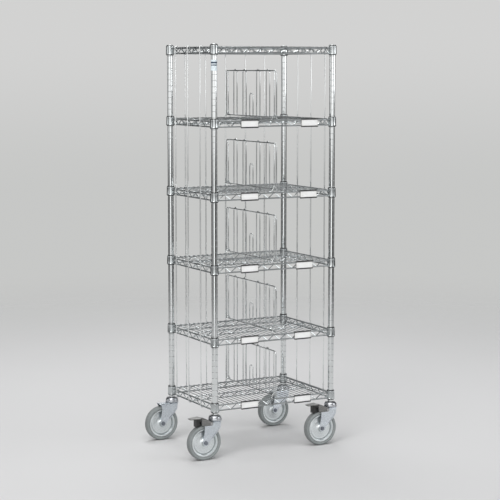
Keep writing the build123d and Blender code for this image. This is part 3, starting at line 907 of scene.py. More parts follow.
@dataclass
class Posts:
    """Four grooved tubes with a flush cap on each."""

    layout: Layout
    radius: float = 12.7
    wall: float = 1.3
    groove_depth: float = 0.6
    groove_width: float = 2.0
    pitch: float = 25.4
    first_groove: float = 18.0
    cap_rise: float = 2.0
    cap_edge: float = 1.2
    plug_depth: float = 12.0
    sides: int = 40

    def profile(self, foot: float, head: float) -> FloatArray:
        """Half section of the tube, with a round-bottomed groove at every pitch.

        Each groove is six points, from the full radius at its rims to the radius less the depth at its floor.

        Args:
            foot: height of the tube's lower end.
            head: height of its upper end.

        Returns:
            Rows of radius and height.
        """
        start = self.layout.levels[-1] + self.first_groove
        centres = np.arange(start, head - self.groove_width, self.pitch)
        share = np.array([-0.5, -0.34, -0.2, 0.2, 0.34, 0.5])
        depth = np.array([0.0, 0.55, 1.0, 1.0, 0.55, 0.0])
        heights = (centres[:, None] + share * self.groove_width).ravel()
        radii = np.tile(self.radius - depth * self.groove_depth, len(centres))
        bore = self.radius - self.wall
        outer = np.stack([radii, heights], -1)
        foot_edge = np.array([[bore, foot], [self.radius - 0.3, foot], [self.radius, foot + 0.3]])
        head_edge = np.array([[self.radius, head], [bore, head]])
        return np.concatenate([foot_edge, outer, head_edge])

    def cap_profile(self, head: float) -> FloatArray:
        """Half section of the cap: a low crown, radius falling as the cosine near the rim, over a plug."""
        crest, edge = head + self.cap_rise, self.cap_edge
        t = np.linspace(0, math.pi / 2, 6)
        crown = np.stack([self.radius - edge + edge * np.cos(t), crest - edge + 1.1 * np.sin(t)], -1)
        top = np.array([[self.radius - 5.0, crest - 0.02], [0.0, crest]])
        plug = self.radius - self.wall - 0.05
        low, seat = head - self.plug_depth, head + 0.02
        foot = np.array([[0.0, low], [plug, low], [plug, seat], [self.radius - 0.2, seat]])
        return np.concatenate([foot, crown, top])

    def build(self, effects: Effects) -> None:
        """Make and dress the posts and their caps.

        Args:
            effects: the shared node groups.
        """
        chrome = POST_CHROME.build(effects)
        caps: list[Surface] = []
        for corner, centre in self.layout.posts.items():
            name = corner.value
            low, high = box_of(f"post_{name}")
            tube = turned(self.profile(low[2], high[2]), centre, Z_AXIS, self.sides)
            reach = np.linalg.norm((tube.points - centre)[:, :2], axis=1)
            # Painted shade: the groove floors get the finish's darker third colour, on top of the shade that
            # the grooves cast themselves.
            shaded_groove_floor = (reach < self.radius - 0.1) & (reach > self.radius - self.wall + 0.05)
            tube = tube.worn_and_shaded(np.where(shaded_groove_floor, 1.0, 0.0))
            add_piece(f"grooved_post_{name}", tube, chrome, "post_chrome", "root", f"post_{name}")
            caps.append(turned(self.cap_profile(high[2]), centre, Z_AXIS, self.sides, closed=False))
        add_piece("round_caps", joined(*caps), CAP_CHROME.build(effects), "cap_chrome", "root", "post_caps")


@dataclass
class WireShelves:
    """Six welded shelves: two rim rods a side with bent wire between them, mat wires and corner collars."""

    layout: Layout
    rim_radius: float = 3.2
    rim_top: float = 27.0
    rim_bottom: float = 4.5
    rim_lap: float = 1.5
    zigzag_radius: float = 2.0
    zigzag_bend: float = 5.0
    zigzag_lap: float = 0.6
    collar_height: float = 36.0
    collar_radius: float = 18.2
    collar_bore: float = 15.05
    long_periods: int = 9
    short_periods: int = 6
    mat_radius: float = 1.4
    mat_pitch: float = 22.0
    mat_axis: float = 31.0
    mat_half_count: int = 12
    support_radius: float = 2.4
    support_top: float = 27.5
    support_bottom: float = 9.0
    support_inset: float = 4.0
    bead_radius: float = 4.3
    bead_length: float = 6.0
    tint_start: float = 18.0
    tint_reach: float = 9.0
    dip_reach: float = 6.0

    def collar(self) -> Surface:
        """Tapered collar with a rolled lip at each end, turned about the post."""
        corners = np.array(
            [
                [self.collar_bore, 0.0],
                [self.collar_radius, 0.0],
                [self.collar_radius, 2.4],
                [self.collar_radius - 0.55, 3.6],
                [17.0, 32.4],
                [17.5, 33.6],
                [17.4, self.collar_height],
                [self.collar_bore, self.collar_height],
            ]
        )
        return turned(bend(corners, 0.7, 4, closed=True), np.zeros(3), Z_AXIS, 40)

    def zigzag(self, start: FloatArray, end: FloatArray, low: float, high: float, periods: int) -> Surface:
        """Wire bent up and down between two rods.

        The corners lie at equal steps from start to end, alternately at the low and the high height, and each
        is rounded.

        Args:
            start: place of the first corner, in plan.
            end: place of the last corner, in plan.
            low: height of the lower corners.
            high: height of the upper corners.
            periods: full waves from start to end.

        Returns:
            The bent wire.
        """
        share = np.linspace(0, 1, 2 * periods + 1)[:, None]
        corners = start + (end - start) * share
        corners[:, 2] = np.where(np.arange(len(corners)) % 2 == 0, low, high)
        along = (end - start) / np.linalg.norm(end - start)
        path = bend(corners, self.zigzag_bend, 6)
        return wire(path, self.zigzag_radius, np.cross(along, Z_AXIS), 8)

    def mat_wire(self) -> Surface:
        """One front-to-back wire, whose ends dip a little onto the rim rods where they are welded."""
        front, back, dip = self.layout.front, self.layout.back, self.dip_reach
        y = np.array([front + 0.1, front + dip, back - dip, back - 0.1])
        z = self.mat_axis + np.array([-0.5, 0.0, 0.0, -0.5])
        return wire(np.stack([np.zeros(4), y, z], -1), self.mat_radius, X_AXIS, 8)

    def truss(
        self, ends: FloatArray, heights: tuple[float, float], radius: float, sides: int, periods: int,
        lap: float, inset: float = 0.0,
    ) -> list[Surface]:
        """Two rods, one over the other, with bent wire between them.

        Args:
            ends: the two ends in plan.
            heights: height of the upper rod and of the lower one.
            radius: the rods' radius.
            sides: points on a ring of a rod.
            periods: full waves of the bent wire.
            lap: how far the bent wire reaches past the rods' axes.
            inset: how far the bent wire stays inside the rods' ends, along X.

        Returns:
            Both rods and the bent wire.
        """
        high, low = heights
        rods = [straight_wire(*(ends + z * Z_AXIS), radius, sides) for z in heights]
        start, end = ends + np.array([inset, -inset])[:, None] * X_AXIS
        return rods + [self.zigzag(start, end, low - lap, high + lap, periods)]

    def build_one(self) -> Surface:
        """Make one shelf with its collars' underside at height 0.

        Returns:
            The welded shelf.
        """
        left, right, front, back = self.layout.left, self.layout.right, self.layout.front, self.layout.back
        inset = self.collar_radius - self.rim_lap
        long_sides = [[[left + inset, y, 0.0], [right - inset, y, 0.0]] for y in (front, back)]
        short_sides = [[[x, front + inset, 0.0], [x, back - inset, 0.0]] for x in (left, right)]
        rim_heights, lap = (self.rim_top, self.rim_bottom), self.zigzag_lap
        parts: list[Surface] = []
        for rows, periods in ((long_sides, self.long_periods), (short_sides, self.short_periods)):
            for ends in np.array(rows):
                parts += self.truss(ends, rim_heights, self.rim_radius, 14, periods, lap)
        middle = np.array([[left, 0.0, 0.0], [right, 0.0, 0.0]])
        heights, inset = (self.support_top, self.support_bottom), self.support_inset
        parts += self.truss(middle, heights, self.support_radius, 10, self.long_periods, 0.0, inset)
        steps = np.arange(-self.mat_half_count, self.mat_half_count + 1)
        columns = self.layout.middle + self.mat_pitch * steps
        parts.append(self.mat_wire().copies(columns[:, None] * X_AXIS))
        posts = np.stack(list(self.layout.posts.values()))
        parts.append(self.collar().copies(posts))
        parts.append(self.weld_beads(posts))
        shelf = joined(*parts)
        return shelf.worn_and_shaded(self.heat_tint(shelf.points, posts))

    def weld_beads(self, posts: FloatArray) -> Surface:
        """Beads where the rim rods meet the collars.

        Args:
            posts: places of the four posts.

        Returns:
            All the beads of one shelf.
        """
        towards_middle = np.sign(posts.mean(axis=0) - posts)
        reach = self.collar_radius - 0.2
        parts = []
        for z in (self.rim_top, self.rim_bottom):
            for axis in (X_AXIS, Y_AXIS):
                weld = bead(np.zeros(3), axis, self.bead_radius, self.bead_length)
                parts.append(weld.copies(posts + towards_middle * reach * axis + z * Z_AXIS))
        return joined(*parts)

    def heat_tint(self, points: FloatArray, posts: FloatArray) -> FloatArray:
        """Wear mask of a shelf: strong beside the collars, weak where mat wires are welded to the rims.

        Args:
            points: the shelf's points.
            posts: places of the four posts.

        Returns:
            One value for each point.
        """
        distance = np.linalg.norm(points[:, None, :2] - posts[None, :, :2], axis=2).min(axis=1)
        beside = np.clip(1 - (distance - self.tint_start) / self.tint_reach, 0, 1)
        collar = np.where(distance < self.collar_radius + 0.1, 0.12, beside)
        is_mat = np.abs(points[:, 2] - self.mat_axis) < self.mat_radius + 0.6
        rim = np.clip((np.abs(points[:, 1]) - self.layout.back + 5) / 5, 0, 1) * is_mat * 0.6
        return np.maximum(collar, rim)

    def build(self, effects: Effects) -> None:
        """Make and dress the six shelves.

        Args:
            effects: the shared node groups.
        """
        chrome = SHELF_CHROME.build(effects)
        shelf = self.build_one()
        for number, level in enumerate(self.layout.levels, start=1):
            piece = shelf.copies(np.array([[0.0, 0.0, level]]))
            add_piece(f"wire_shelf_{number}", piece, chrome, "shelf_chrome", "root", f"shelf_{number}")


@dataclass
class SplitSleeves:
    """Pairs of plastic half rings that wedge the collars onto the posts."""

    layout: Layout
    bore: float = 12.75
    radius: float = 15.0
    lip_radius: float = 15.7
    overhang: float = 3.5
    collar_height: float = 36.0
    slot: float = 1.0
    rings: int = 22

    def half_ring(self) -> Surface:
        """Half of one sleeve: its section carried round the post from slot to slot."""
        corners = np.array(
            [
                [self.bore, -self.overhang],
                [self.lip_radius, -self.overhang],
                [self.lip_radius, -0.3],
                [self.radius, 0.1],
                [self.radius, self.collar_height - 0.1],
                [self.lip_radius - 0.2, self.collar_height + 0.3],
                [self.lip_radius - 0.4, self.collar_height + self.overhang],
                [self.bore, self.collar_height + self.overhang],
            ]
        )
        section = bend(corners, 0.5, 4, closed=True)
        gap = math.asin(self.slot / 2 / self.radius)
        angle = np.linspace(math.pi / 2 + gap, 3 * math.pi / 2 - gap, self.rings)[:, None]
        reach, height = section[:, 0], section[:, 1]
        height = np.broadcast_to(height, (self.rings, len(section)))
        return loft(np.stack([reach * np.cos(angle), reach * np.sin(angle), height], -1))

    def build(self, effects: Effects) -> None:
        """Make and dress all the sleeves.

        Args:
            effects: the shared node groups.
        """
        half = self.half_ring()
        pair = joined(half, half.flipped(0))
        half_height = self.collar_height / 2
        pair = pair.worn_and_shaded(np.clip((np.abs(pair.points[:, 2] - half_height) - half_height - 2) / 2, 0, 1) * 0.5)
        posts, levels = self.layout.posts.values(), self.layout.levels
        sleeves = pair.copies(np.stack([post + level * Z_AXIS for post in posts for level in levels]))
        finish = SLEEVE_PLASTIC.build(effects)
        add_piece("sleeve_halves", sleeves, finish, "sleeve_plastic", "root", "split_sleeves")


@dataclass
class SideRods:
    """Upright rods on the left, the right and the back, hooked over the top rim and under the bottom rim."""

    layout: Layout
    radius: float = 2.5
    reach: float = 7.25
    hook: float = 6.4
    hook_end: float = 3.5
    hook_gap: float = 2.0
    wear_reach: float = 12.0
    rim_top: float = 27.0
    rim_bottom: float = 4.5
    left_rods: tuple[float, ...] = (-93.0, 24.0, 143.0)
    right_rods: tuple[float, ...] = (-136.0, -19.0, 98.0)
    back_rods: tuple[float, ...] = (-209.0, -109.0, -10.0, 91.0, 188.0)

    def rod(self, out: FloatArray) -> Surface:
        """One rod about its rim's line, bent over at both ends.

        Each hook is a half circle over the rim rod and a short straight end on its inner side.

        Args:
            out: unit vector from the shelf outwards.

        Returns:
            The rod, with the rim's line through the origin in plan.
        """
        top = self.layout.levels[0] + self.rim_top
        bottom = self.layout.levels[-1] + self.rim_bottom
        t = np.linspace(0, math.pi, 13)
        inner = self.reach - 2 * self.hook
        across = inner + self.hook + self.hook * np.cos(t)
        upper = np.stack([across, top + self.hook * np.sin(t)], -1)
        lower = np.stack([across[::-1], bottom - self.hook * np.sin(t)], -1)
        span = np.linspace(bottom + self.hook_gap, top - self.hook_gap, 8)
        straight = np.stack([np.full(8, self.reach), span], -1)
        tips = [[inner, bottom + self.hook_end]], [[inner, top - self.hook_end]]
        line = np.concatenate([tips[0], lower, straight, upper, tips[1]])
        path = line[:, :1] * out + line[:, 1:] * Z_AXIS
        rod = wire(path, self.radius, np.cross(out, Z_AXIS), 12)
        near_rim = np.minimum(np.abs(rod.points[:, 2] - top), np.abs(rod.points[:, 2] - bottom))
        return rod.worn_and_shaded(np.clip(1 - near_rim / self.wear_reach, 0, 1) * 0.35)

    def build(self, effects: Effects) -> None:
        """Make and dress the three rows of rods.

        Args:
            effects: the shared node groups.
        """
        chrome = ROD_CHROME.build(effects)
        layout = self.layout
        left = [[layout.left, y, 0.0] for y in self.left_rods]
        right = [[layout.right, y, 0.0] for y in self.right_rods]
        back = [[layout.middle + x, layout.back, 0.0] for x in self.back_rods]
        rows = (
            ("left_rod_row", -X_AXIS, left, ("left_rods", "rod_clips")),
            ("right_rod_row", X_AXIS, right, ("right_rods",)),
            ("back_rod_row", Y_AXIS, back, ("back_rods",)),
        )
        for name, out, spots, nodes in rows:
            add_piece(name, self.rod(out).copies(np.array(spots)), chrome, "rod_chrome", "root", *nodes)


@dataclass
class Dividers:
    """Bent wire dividers that stand across the five lower shelves."""

    layout: Layout
    rail: float = 2.75
    thin_wire: float = 2.15
    half_depth: float = 227.0
    foot_place: float = 209.0
    corner: float = 16.0
    rail_low: float = 41.4
    rail_high: float = 236.15
    inner_upright: float = 209.0
    hairpins: tuple[float, ...] = (-147.0, -62.0, 62.0, 147.0)
    gauge: float = 30.0
    hairpin_top: float = 240.75
    short_top: float = 139.4
    offset: float = 3.6
    foot_spread: float = 12.0
    foot_low: float = 32.95
    foot_apex: float = 56.8
    wire_lap: float = 1.5
    bead_radius: float = 3.6
    bead_length: float = 7.0

    def hairpin(self, y: float, top: float) -> Surface:
        """Wire up one leg, round a half circle and down the other leg."""
        t = np.linspace(math.pi, 0, 15)
        half = self.gauge / 2
        arc = np.stack([y + half * np.cos(t), top - half + half * np.sin(t)], -1)
        foot = self.rail_low - self.wire_lap
        line = np.concatenate([[[y - half, foot]], arc, [[y + half, foot]]])
        path = np.insert(line, 0, self.offset, axis=1)
        return wire(path, self.thin_wire, X_AXIS, 10)

    def foot(self, y: float) -> Surface:
        """Foot bent to an upside-down V, whose legs straddle the rim rod."""
        x = self.foot_spread * np.array([-1.25, -1.0, 0.0, 1.0, 1.25])
        z = np.full(5, self.foot_low)
        z[2] = self.foot_apex
        corners = np.stack([x, np.full(5, y), z], -1)
        return wire(bend(corners, 3.0, 6), self.thin_wire, Y_AXIS, 10)

    def panel(self) -> Surface:
        """One divider in its own place across a shelf, with the shelf's collars at height 0.

        Returns:
            The welded divider.
        """
        end, low, high = self.half_depth, self.rail_low, self.rail_high
        tip = low - self.rail
        corners = [[0.0, -end, tip], [0.0, -end, high], [0.0, end, high], [0.0, end, tip]]
        parts = [
            wire(bend(np.array(corners), self.corner, 12), self.rail, X_AXIS, 12),
            straight_wire(np.array([0.0, -end, low]), np.array([0.0, end, low]), self.rail - 0.3, 12),
        ]
        for side in (-1.0, 1.0):
            upright, foot = side * self.inner_upright, side * self.foot_place
            parts.append(
                straight_wire(np.array([0.0, upright, low]), np.array([0.0, upright, high]), self.thin_wire)
            )
            parts.append(self.foot(foot))
            apex = np.array([0.0, foot, self.foot_apex])
            parts.append(bead(apex, Z_AXIS, self.bead_radius, self.bead_length))
        parts += [self.hairpin(y, self.hairpin_top) for y in self.hairpins]
        parts.append(self.hairpin(0.0, self.short_top))
        divider = joined(*parts)
        near_low = np.abs(divider.points[:, 2] - low)
        return divider.worn_and_shaded(np.clip(1 - near_low / 5, 0, 1) * 0.4)

    def build(self, effects: Effects) -> None:
        """Make and dress the five dividers.

        Args:
            effects: the shared node groups.
        """
        chrome = DIVIDER_CHROME.build(effects)
        panel = self.panel()
        for number, level in enumerate(self.layout.levels[1:], start=2):
            piece = panel.copies(np.array([[self.layout.middle, 0.0, level]]))
            add_piece(f"wire_divider_{number}", piece, chrome, "divider_chrome", "root", f"divider_{number}")


@dataclass
class Labels:
    """Label holders on the front rims, a card in each, and a banded sticker on the front left post."""

    layout: Layout
    width: float = 82.0
    height: float = 36.0
    sheet_thickness: float = 1.2
    gap: float = 0.2
    channel: float = 3.8
    lip: float = 5.3
    rim_radius: float = 3.2
    rim_top: float = 27.0
    foot: float = -2.25
    strap_outer: float = 4.3
    strap_inner: float = 3.35
    strap_half: float = 3.5
    strap_place: float = 24.0
    left_place: float = -120.0
    right_places: tuple[float, ...] = (170.0, 166.0, 147.0, 140.0, 140.0)
    sticker_radius: float = 12.75
    sticker_sheet: float = 0.25

    def spots(self) -> FloatArray:
        """Places of the ten holders, two on each shelf but the top one."""
        rows = []
        for level, right in zip(self.layout.levels[1:], self.right_places):
            rows.append([self.layout.middle + self.left_place, self.layout.front, level])
            rows.append([self.layout.middle + right, self.layout.front, level])
        return np.array(rows)

    def holder(self) -> Surface:
        """Channel with a lip along its top and bottom, and two straps over the rim rod.

        The channel is the strip between two lines half a thickness either side of a bent line, carried along
        the shelf's front. A strap is the same about an arc round the rod.

        Returns:
            The holder about the rim's line.
        """
        half = self.sheet_thickness / 2
        back = -self.rim_radius - self.gap - half
        front = back - self.channel + 2 * half
        low, high = self.foot + half, self.foot + self.height - half
        lip = self.lip - half
        corners = np.array(
            [[front, high - lip], [front, high], [back, high], [back, low], [front, low], [front, low + lip]]
        )
        line = bend(corners, 1.1, 5)
        ahead = np.gradient(line, axis=0)
        ahead = ahead / np.linalg.norm(ahead, axis=1)[:, None]
        side = np.stack([ahead[:, 1], -ahead[:, 0]], -1) * half
        columns = np.array([-0.5, -0.49, 0.49, 0.5]) * self.width
        pinch = np.array([0.82, 1.0, 1.0, 0.82])[:, None, None]
        x = np.broadcast_to(columns[:, None, None], (4, len(line), 1))
        outer = np.concatenate([x, line[None] + side[None] * pinch], -1)
        inner = np.concatenate([x, line[None] - side[None] * pinch], -1)
        channel = sheet(outer, inner)
        angle = np.linspace(math.radians(200), math.radians(-35), 16)[:, None]
        around = np.concatenate([np.cos(angle), np.sin(angle)], -1)
        rod = np.array([0.0, self.rim_top])
        edges = (-self.strap_half, self.strap_half)
        sides = [
            np.stack([np.insert(rod + around * radius, 0, x, axis=1) for x in edges])
            for radius in (self.strap_outer, self.strap_inner)
        ]
        straps = sheet(*sides).copies(np.array([[-self.strap_place, 0, 0], [self.strap_place, 0, 0]]))
        holder = joined(channel, straps)
        ends = np.clip((np.abs(holder.points[:, 0]) - self.width / 2 + 2) / 2, 0, 1)
        return holder.worn_and_shaded(ends * 0.6)

    def card(self) -> Surface:
        """Card with rounded corners, a little bowed towards the front in the middle."""
        half_x, half_z = self.width / 2 - 1.2, self.height / 2 - self.sheet_thickness - 0.25
        corners = np.array([[-half_x, -half_z], [half_x, -half_z], [half_x, half_z], [-half_x, half_z]])
        outline = bend(corners, 1.2, 5, closed=True)
        middle_y = -self.rim_radius - self.gap - self.sheet_thickness - 0.4
        share = np.array([0.0, 0.55, 1.0, 1.0, 0.55, 0.0])[:, None]
        depth = np.array([-0.28, -0.28, -0.25, 0.25, 0.28, 0.28])[:, None]
        x = outline[None, :, 0] * share
        z = outline[None, :, 1] * share + self.foot + self.height / 2
        y = middle_y + depth - 0.25 * (1 - (x / half_x) ** 2)
        card = loft(np.stack([x, np.broadcast_to(y, x.shape), z], -1))
        edge = np.clip((np.abs(card.points[:, 0]) - half_x + 2) / 2, 0, 1)
        return card.worn_and_shaded(edge * 0.5)

    def sticker(self) -> Surface:
        """Film round the outer side of the post, its height share kept in the wear mask."""
        low, high = box_of("post_sticker")
        angle = np.linspace(math.radians(125), math.radians(325), 26)[None, :, None]
        heights = np.linspace(low[2], high[2], 40)[:, None, None]
        around = np.concatenate([np.cos(angle), np.sin(angle), 0 * angle], -1)
        centre = self.layout.posts[Corner.FRONT_LEFT]
        lift = heights * Z_AXIS
        outer = centre + around * (self.sticker_radius + self.sticker_sheet) + lift
        inner = centre + around * self.sticker_radius + lift
        film = sheet(outer, inner)
        return film.worn_and_shaded((film.points[:, 2] - low[2]) / (high[2] - low[2]))

    def build(self, effects: Effects) -> None:
        """Make and dress the holders, the cards and the sticker.

        Args:
            effects: the shared node groups.
        """
        spots = self.spots()
        holders, cards = self.holder().copies(spots), self.card().copies(spots)
        pieces = (
            ("channel_holders", holders, HOLDER_PLASTIC, "holder_plastic", "label_holders"),
            ("shelf_cards", cards, LABEL_CARD, "label_card", "label_cards"),
            ("band_sticker", self.sticker(), STICKER_FILM, "sticker_film", "post_sticker"),
        )
        for name, surface, finish, slot, node in pieces:
            add_piece(name, surface, finish.build(effects), slot, "root", node)


@dataclass
class Caster:
    """One swivel caster, with sizes from the swivel axis while the wheel trails towards -X."""

    corner: Corner
    centre: FloatArray
    axle: FloatArray
    dome_radius: float = 28.5
    dome_foot: float = 165.5
    dome_top: float = 187.0
    fork_half: float = 19.5
    fork_sheet: float = 3.0
    leg_tip: float = 13.0
    web_height: float = 163.0
    web_bend: float = 6.0
    crown_radius: float = 27.0
    web_rear: float = -68.0
    rim_width: float = 26.0
    tyre_width: float = 32.0
    wheel_radius: float = 75.0
    hexagon: float = 7.8
    head_height: float = 4.1
    washer_height: float = 1.3
    washer_bore: float = 6.0
    washer_radius: float = 9.0
    axle_half: float = 27.0
    axle_radius: float = 5.9
    stem_bore: float = 8.03
    dome_neck: float = 15.5
    dome_step: float = 7.6
    skirt_inner: float = 26.4
    seat_bore: float = 8.1
    seat_radius: float = 24.0
    seat_foot: float = 164.0
    seat_top: float = 172.4
    groove_reach: float = 50.0
    groove_half: float = 1.3

    def dome(self) -> Surface:
        """Pressed dome over the swivel: a bright skirt, a small step and a round shoulder, with a painted
        dark reflection on the crest and painted shade under the skirt.
        """
        foot, top, radius, inner = self.dome_foot, self.dome_top, self.dome_radius, self.skirt_inner
        neck, step, upper = self.dome_neck, foot + self.dome_step, self.dome_radius - 0.9
        t = np.linspace(0, math.pi / 2, 14)
        shoulder = np.stack([neck + (upper - neck) * np.cos(t), step + (top - step) * np.sin(t)], -1)
        corners = np.array(
            [[inner, foot + 7], [inner, foot], [radius, foot], [radius, foot + 6.6], [upper, foot + 7.4]]
        )
        skirt = bend(corners, np.array([0.1, 0.6, 0.6, 0.5, 0.1]), 4)
        bore = np.array([[self.stem_bore, top], [self.stem_bore, top - 7], [23.0, top - 7]])
        dome = turned(np.concatenate([skirt, shoulder, bore]), self.centre, Z_AXIS, 64)
        height = dome.points[:, 2]
        reach = np.linalg.norm((dome.points - self.centre)[:, :2], axis=1)
        # Painted dark reflection towards the crest, and painted shade on the underside inside the skirt.
        crest = np.clip((height - top + 6) / 4, 0, 1) * 0.7
        underside = np.where((reach < inner + 0.1) & (height < foot + 1), 0.3, 0.0)
        return dome.worn_and_shaded(crest + underside)

    def leg_limits(self, z: FloatArray) -> tuple[FloatArray, FloatArray]:
        """Rear and front edge of the fork's leg at a height.

        Below the axle both edges follow a circle about it. Above, they run through measured heights.

        Args:
            z: heights above the floor.

        Returns:
            X of the rear edge and of the front edge.
        """
        axle_x = self.axle[0] - self.centre[0]
        drop = np.clip(self.wheel_radius - z, 0, self.leg_tip)
        half = np.sqrt(np.maximum(self.leg_tip**2 - drop**2, 0))
        heights = [75, 90, 110, 135, 148, 157, 163]
        rear = np.interp(z, heights, [axle_x - 13, axle_x - 11.5, -60.5, -57.5, -58.5, -63.0, self.web_rear])
        front = np.interp(z, [75, 84, 96, 117, 137, 157], [axle_x + 13, axle_x + 21, -17, 3, 16, 18.6])
        below = z < self.wheel_radius
        return np.where(below, axle_x - half, rear), np.where(below, axle_x + half, front)

    def fork(self) -> Surface:
        """Pressed fork: one sheet from the tip of a leg, over the wheel and down to the other tip.

        The sheet's middle line in the Y-Z plane is a leg, a quarter circle, the web, a quarter circle and a
        leg. Across it the sheet runs from its rear to its front edge, and between the edges the legs are
        pressed in by a smooth step.

        Returns:
            The fork with the seat of the bearing on its web.
        """
        tip = self.wheel_radius - self.leg_tip
        t = np.linspace(0, math.pi / 2, 9)
        straight = np.linspace(self.wheel_radius, self.web_height - self.web_bend, 22)[1:]
        leg_z = np.concatenate([tip + self.leg_tip * (1 - np.cos(t)), straight])
        leg_y = np.full(len(leg_z), -self.fork_half)
        leg_n = np.stack([np.full(len(leg_z), -1.0), np.zeros(len(leg_z))], -1)
        a = np.linspace(math.pi, math.pi / 2, 8)[1:]
        arc_n = np.stack([np.cos(a), np.sin(a)], -1)
        arc_y = -self.fork_half + self.web_bend + self.web_bend * arc_n[:, 0]
        arc_z = self.web_height - self.web_bend + self.web_bend * arc_n[:, 1]
        web_y = np.linspace(arc_y[-1], 0, 6)[1:]
        web_n = np.tile([0.0, 1.0], (len(web_y), 1))
        y = np.concatenate([leg_y, arc_y, web_y])
        z = np.concatenate([leg_z, arc_z, np.full(len(web_y), self.web_height)])
        n = np.concatenate([leg_n, arc_n, web_n])
        y = np.concatenate([y, -y[-2::-1]])
        z = np.concatenate([z, z[-2::-1]])
        n = np.concatenate([n, n[-2::-1] * np.array([-1.0, 1.0])])
        rear, front = self.leg_limits(z)
        on_top = z > self.web_height - self.web_bend + 0.01
        front = np.where(on_top, np.sqrt(np.maximum(self.crown_radius**2 - y**2, 0)), front)
        v = 0.5 - 0.5 * np.cos(np.linspace(0, math.pi, 19))[None]
        x = rear[:, None] + (front - rear)[:, None] * v
        rim = np.minimum(x - rear[:, None], front[:, None] - x)
        room = smooth_step(rim / 7.0 - 0.25)
        window = smooth_step((z - 88) / 14) * smooth_step((self.web_height - 4 - z) / 10)
        press = 0.9 * room * window[:, None]
        half = self.fork_sheet / 2
        ease = np.where(rim < 0.4, 0.35, 0.0)
        shells = []
        for side in (1.0, -1.0):
            shift = side * (half - ease) - press
            py = y[:, None] + n[:, :1] * shift
            pz = z[:, None] + n[:, 1:] * shift
            shells.append(np.stack([x, py, pz], -1) + self.centre)
        fork = sheet(*shells)
        local = fork.points - self.centre
        rear_f, front_f = self.leg_limits(local[:, 2])
        edge = np.minimum(np.abs(local[:, 0] - rear_f), np.abs(local[:, 0] - front_f))
        fork = fork.worn_and_shaded(np.clip(1 - edge / 2.5, 0, 1) * 0.8)
        bore, radius, low, high = self.seat_bore, self.seat_radius, self.seat_foot, self.seat_top
        corners = np.array([[bore, low], [radius, low], [radius, high], [bore, high]])
        seat = turned(bend(corners, 0.8, 4, closed=True), self.centre, Z_AXIS, 48)
        return joined(fork, seat.worn_and_shaded(0.4))

    def wheel(self) -> Surface:
        """Dished wheel: hub, hollow disc, bright ring and rim, the same on both sides, with a painted shade
        line in the disc's groove.
        """
        side = np.array(
            [
                [9.05, 15.5],
                [13.6, 15.5],
                [14.6, 12.5],
                [17.5, 9.6],
                [24.0, 6.8],
                [33.0, 4.9],
                [41.0, 4.0],
                [47.0, 4.4],
                [49.2, 3.0],
                [50.6, 3.2],
                [52.2, 8.6],
                [54.0, self.rim_width / 2 - 0.6],
                [58.2, self.rim_width / 2],
                [60.0, self.rim_width / 2 - 0.8],
            ]
        )
        radii = np.array([0.5, 1.2, 1.4, 3.0, 12.0, 20.0, 12.0, 1.0, 0.7, 0.7, 1.5, 1.0, 0.7, 0.3])
        corners = np.concatenate([side, side[::-1] * np.array([1, -1])])
        profile = bend(corners, np.concatenate([radii, radii[::-1]]), 5, closed=True)
        wheel = turned(profile, self.axle, Y_AXIS, 96)
        reach = np.linalg.norm((wheel.points - self.axle)[:, [0, 2]], axis=1)
        # Painted shade: a dark line along the groove of the disc. The hub also darkens towards the axle.
        groove = np.exp(-(((reach - self.groove_reach) / self.groove_half) ** 2))
        hub = np.clip((17.5 - reach) / 3, 0, 1) * 0.5
        return wheel.worn_and_shaded(np.maximum(groove, hub))

    def tyre(self) -> Surface:
        """Soft tyre: round shoulders, a slightly crowned tread and a moulded ridge near the rim."""
        half = self.tyre_width / 2
        side = np.array(
            [
                [60.05, half - 3.6],
                [61.6, half - 2.0],
                [62.6, half - 1.0],
                [63.6, half - 1.5],
                [66.0, half],
                [self.wheel_radius - 1.6, half - 0.4],
                [self.wheel_radius, half - 9.0],
            ]
        )
        radii = np.array([0.4, 0.6, 0.5, 0.7, 2.0, 6.5, 4.0])
        corners = np.concatenate([side, side[::-1] * np.array([1, -1])])
        profile = bend(corners, np.concatenate([radii, radii[::-1]]), 7, closed=True)
        tyre = turned(profile, self.axle, Y_AXIS, 96)
        reach = np.linalg.norm((tyre.points - self.axle)[:, [0, 2]], axis=1)
        return tyre.worn_and_shaded(np.clip((reach - 69) / 6, 0, 1) * 0.8 + np.clip((63.8 - reach) / 1.5, 0, 1) * 0.6)

    def hexagon_head(self, y: float, direction: float, height: float) -> Surface:
        """Six-sided head whose corners are turned down to a circle on its outer side.

        The reach at an angle is apothem / cos(angle from the nearest flat's middle), and no more than the
        turned circle near the outer face.

        Args:
            y: inner face of the head.
            direction: which way it faces, 1 or -1.
            height: its thickness.

        Returns:
            The head.
        """
        angle = np.linspace(0, 2 * math.pi, 72, endpoint=False)
        flat = np.mod(angle + math.pi / 6, math.pi / 3) - math.pi / 6
        apothem = self.hexagon * math.cos(math.pi / 6)
        reach = apothem / np.cos(flat)
        heights = np.array([0.0, 0.0, 0.35, 0.7, 0.82, 0.94, 1.0, 1.0]) * height
        circle = np.array([0.7, 0.97, 1.0, 1.0, 0.965, 0.9, 0.84, 0.4]) * self.hexagon
        ring_reach = np.minimum(reach[None], circle[:, None])
        x = ring_reach * np.cos(angle)
        z = ring_reach * np.sin(angle)
        place = np.broadcast_to((y + direction * heights)[:, None], x.shape)
        return loft(np.stack([x, place, z], -1) + self.axle)

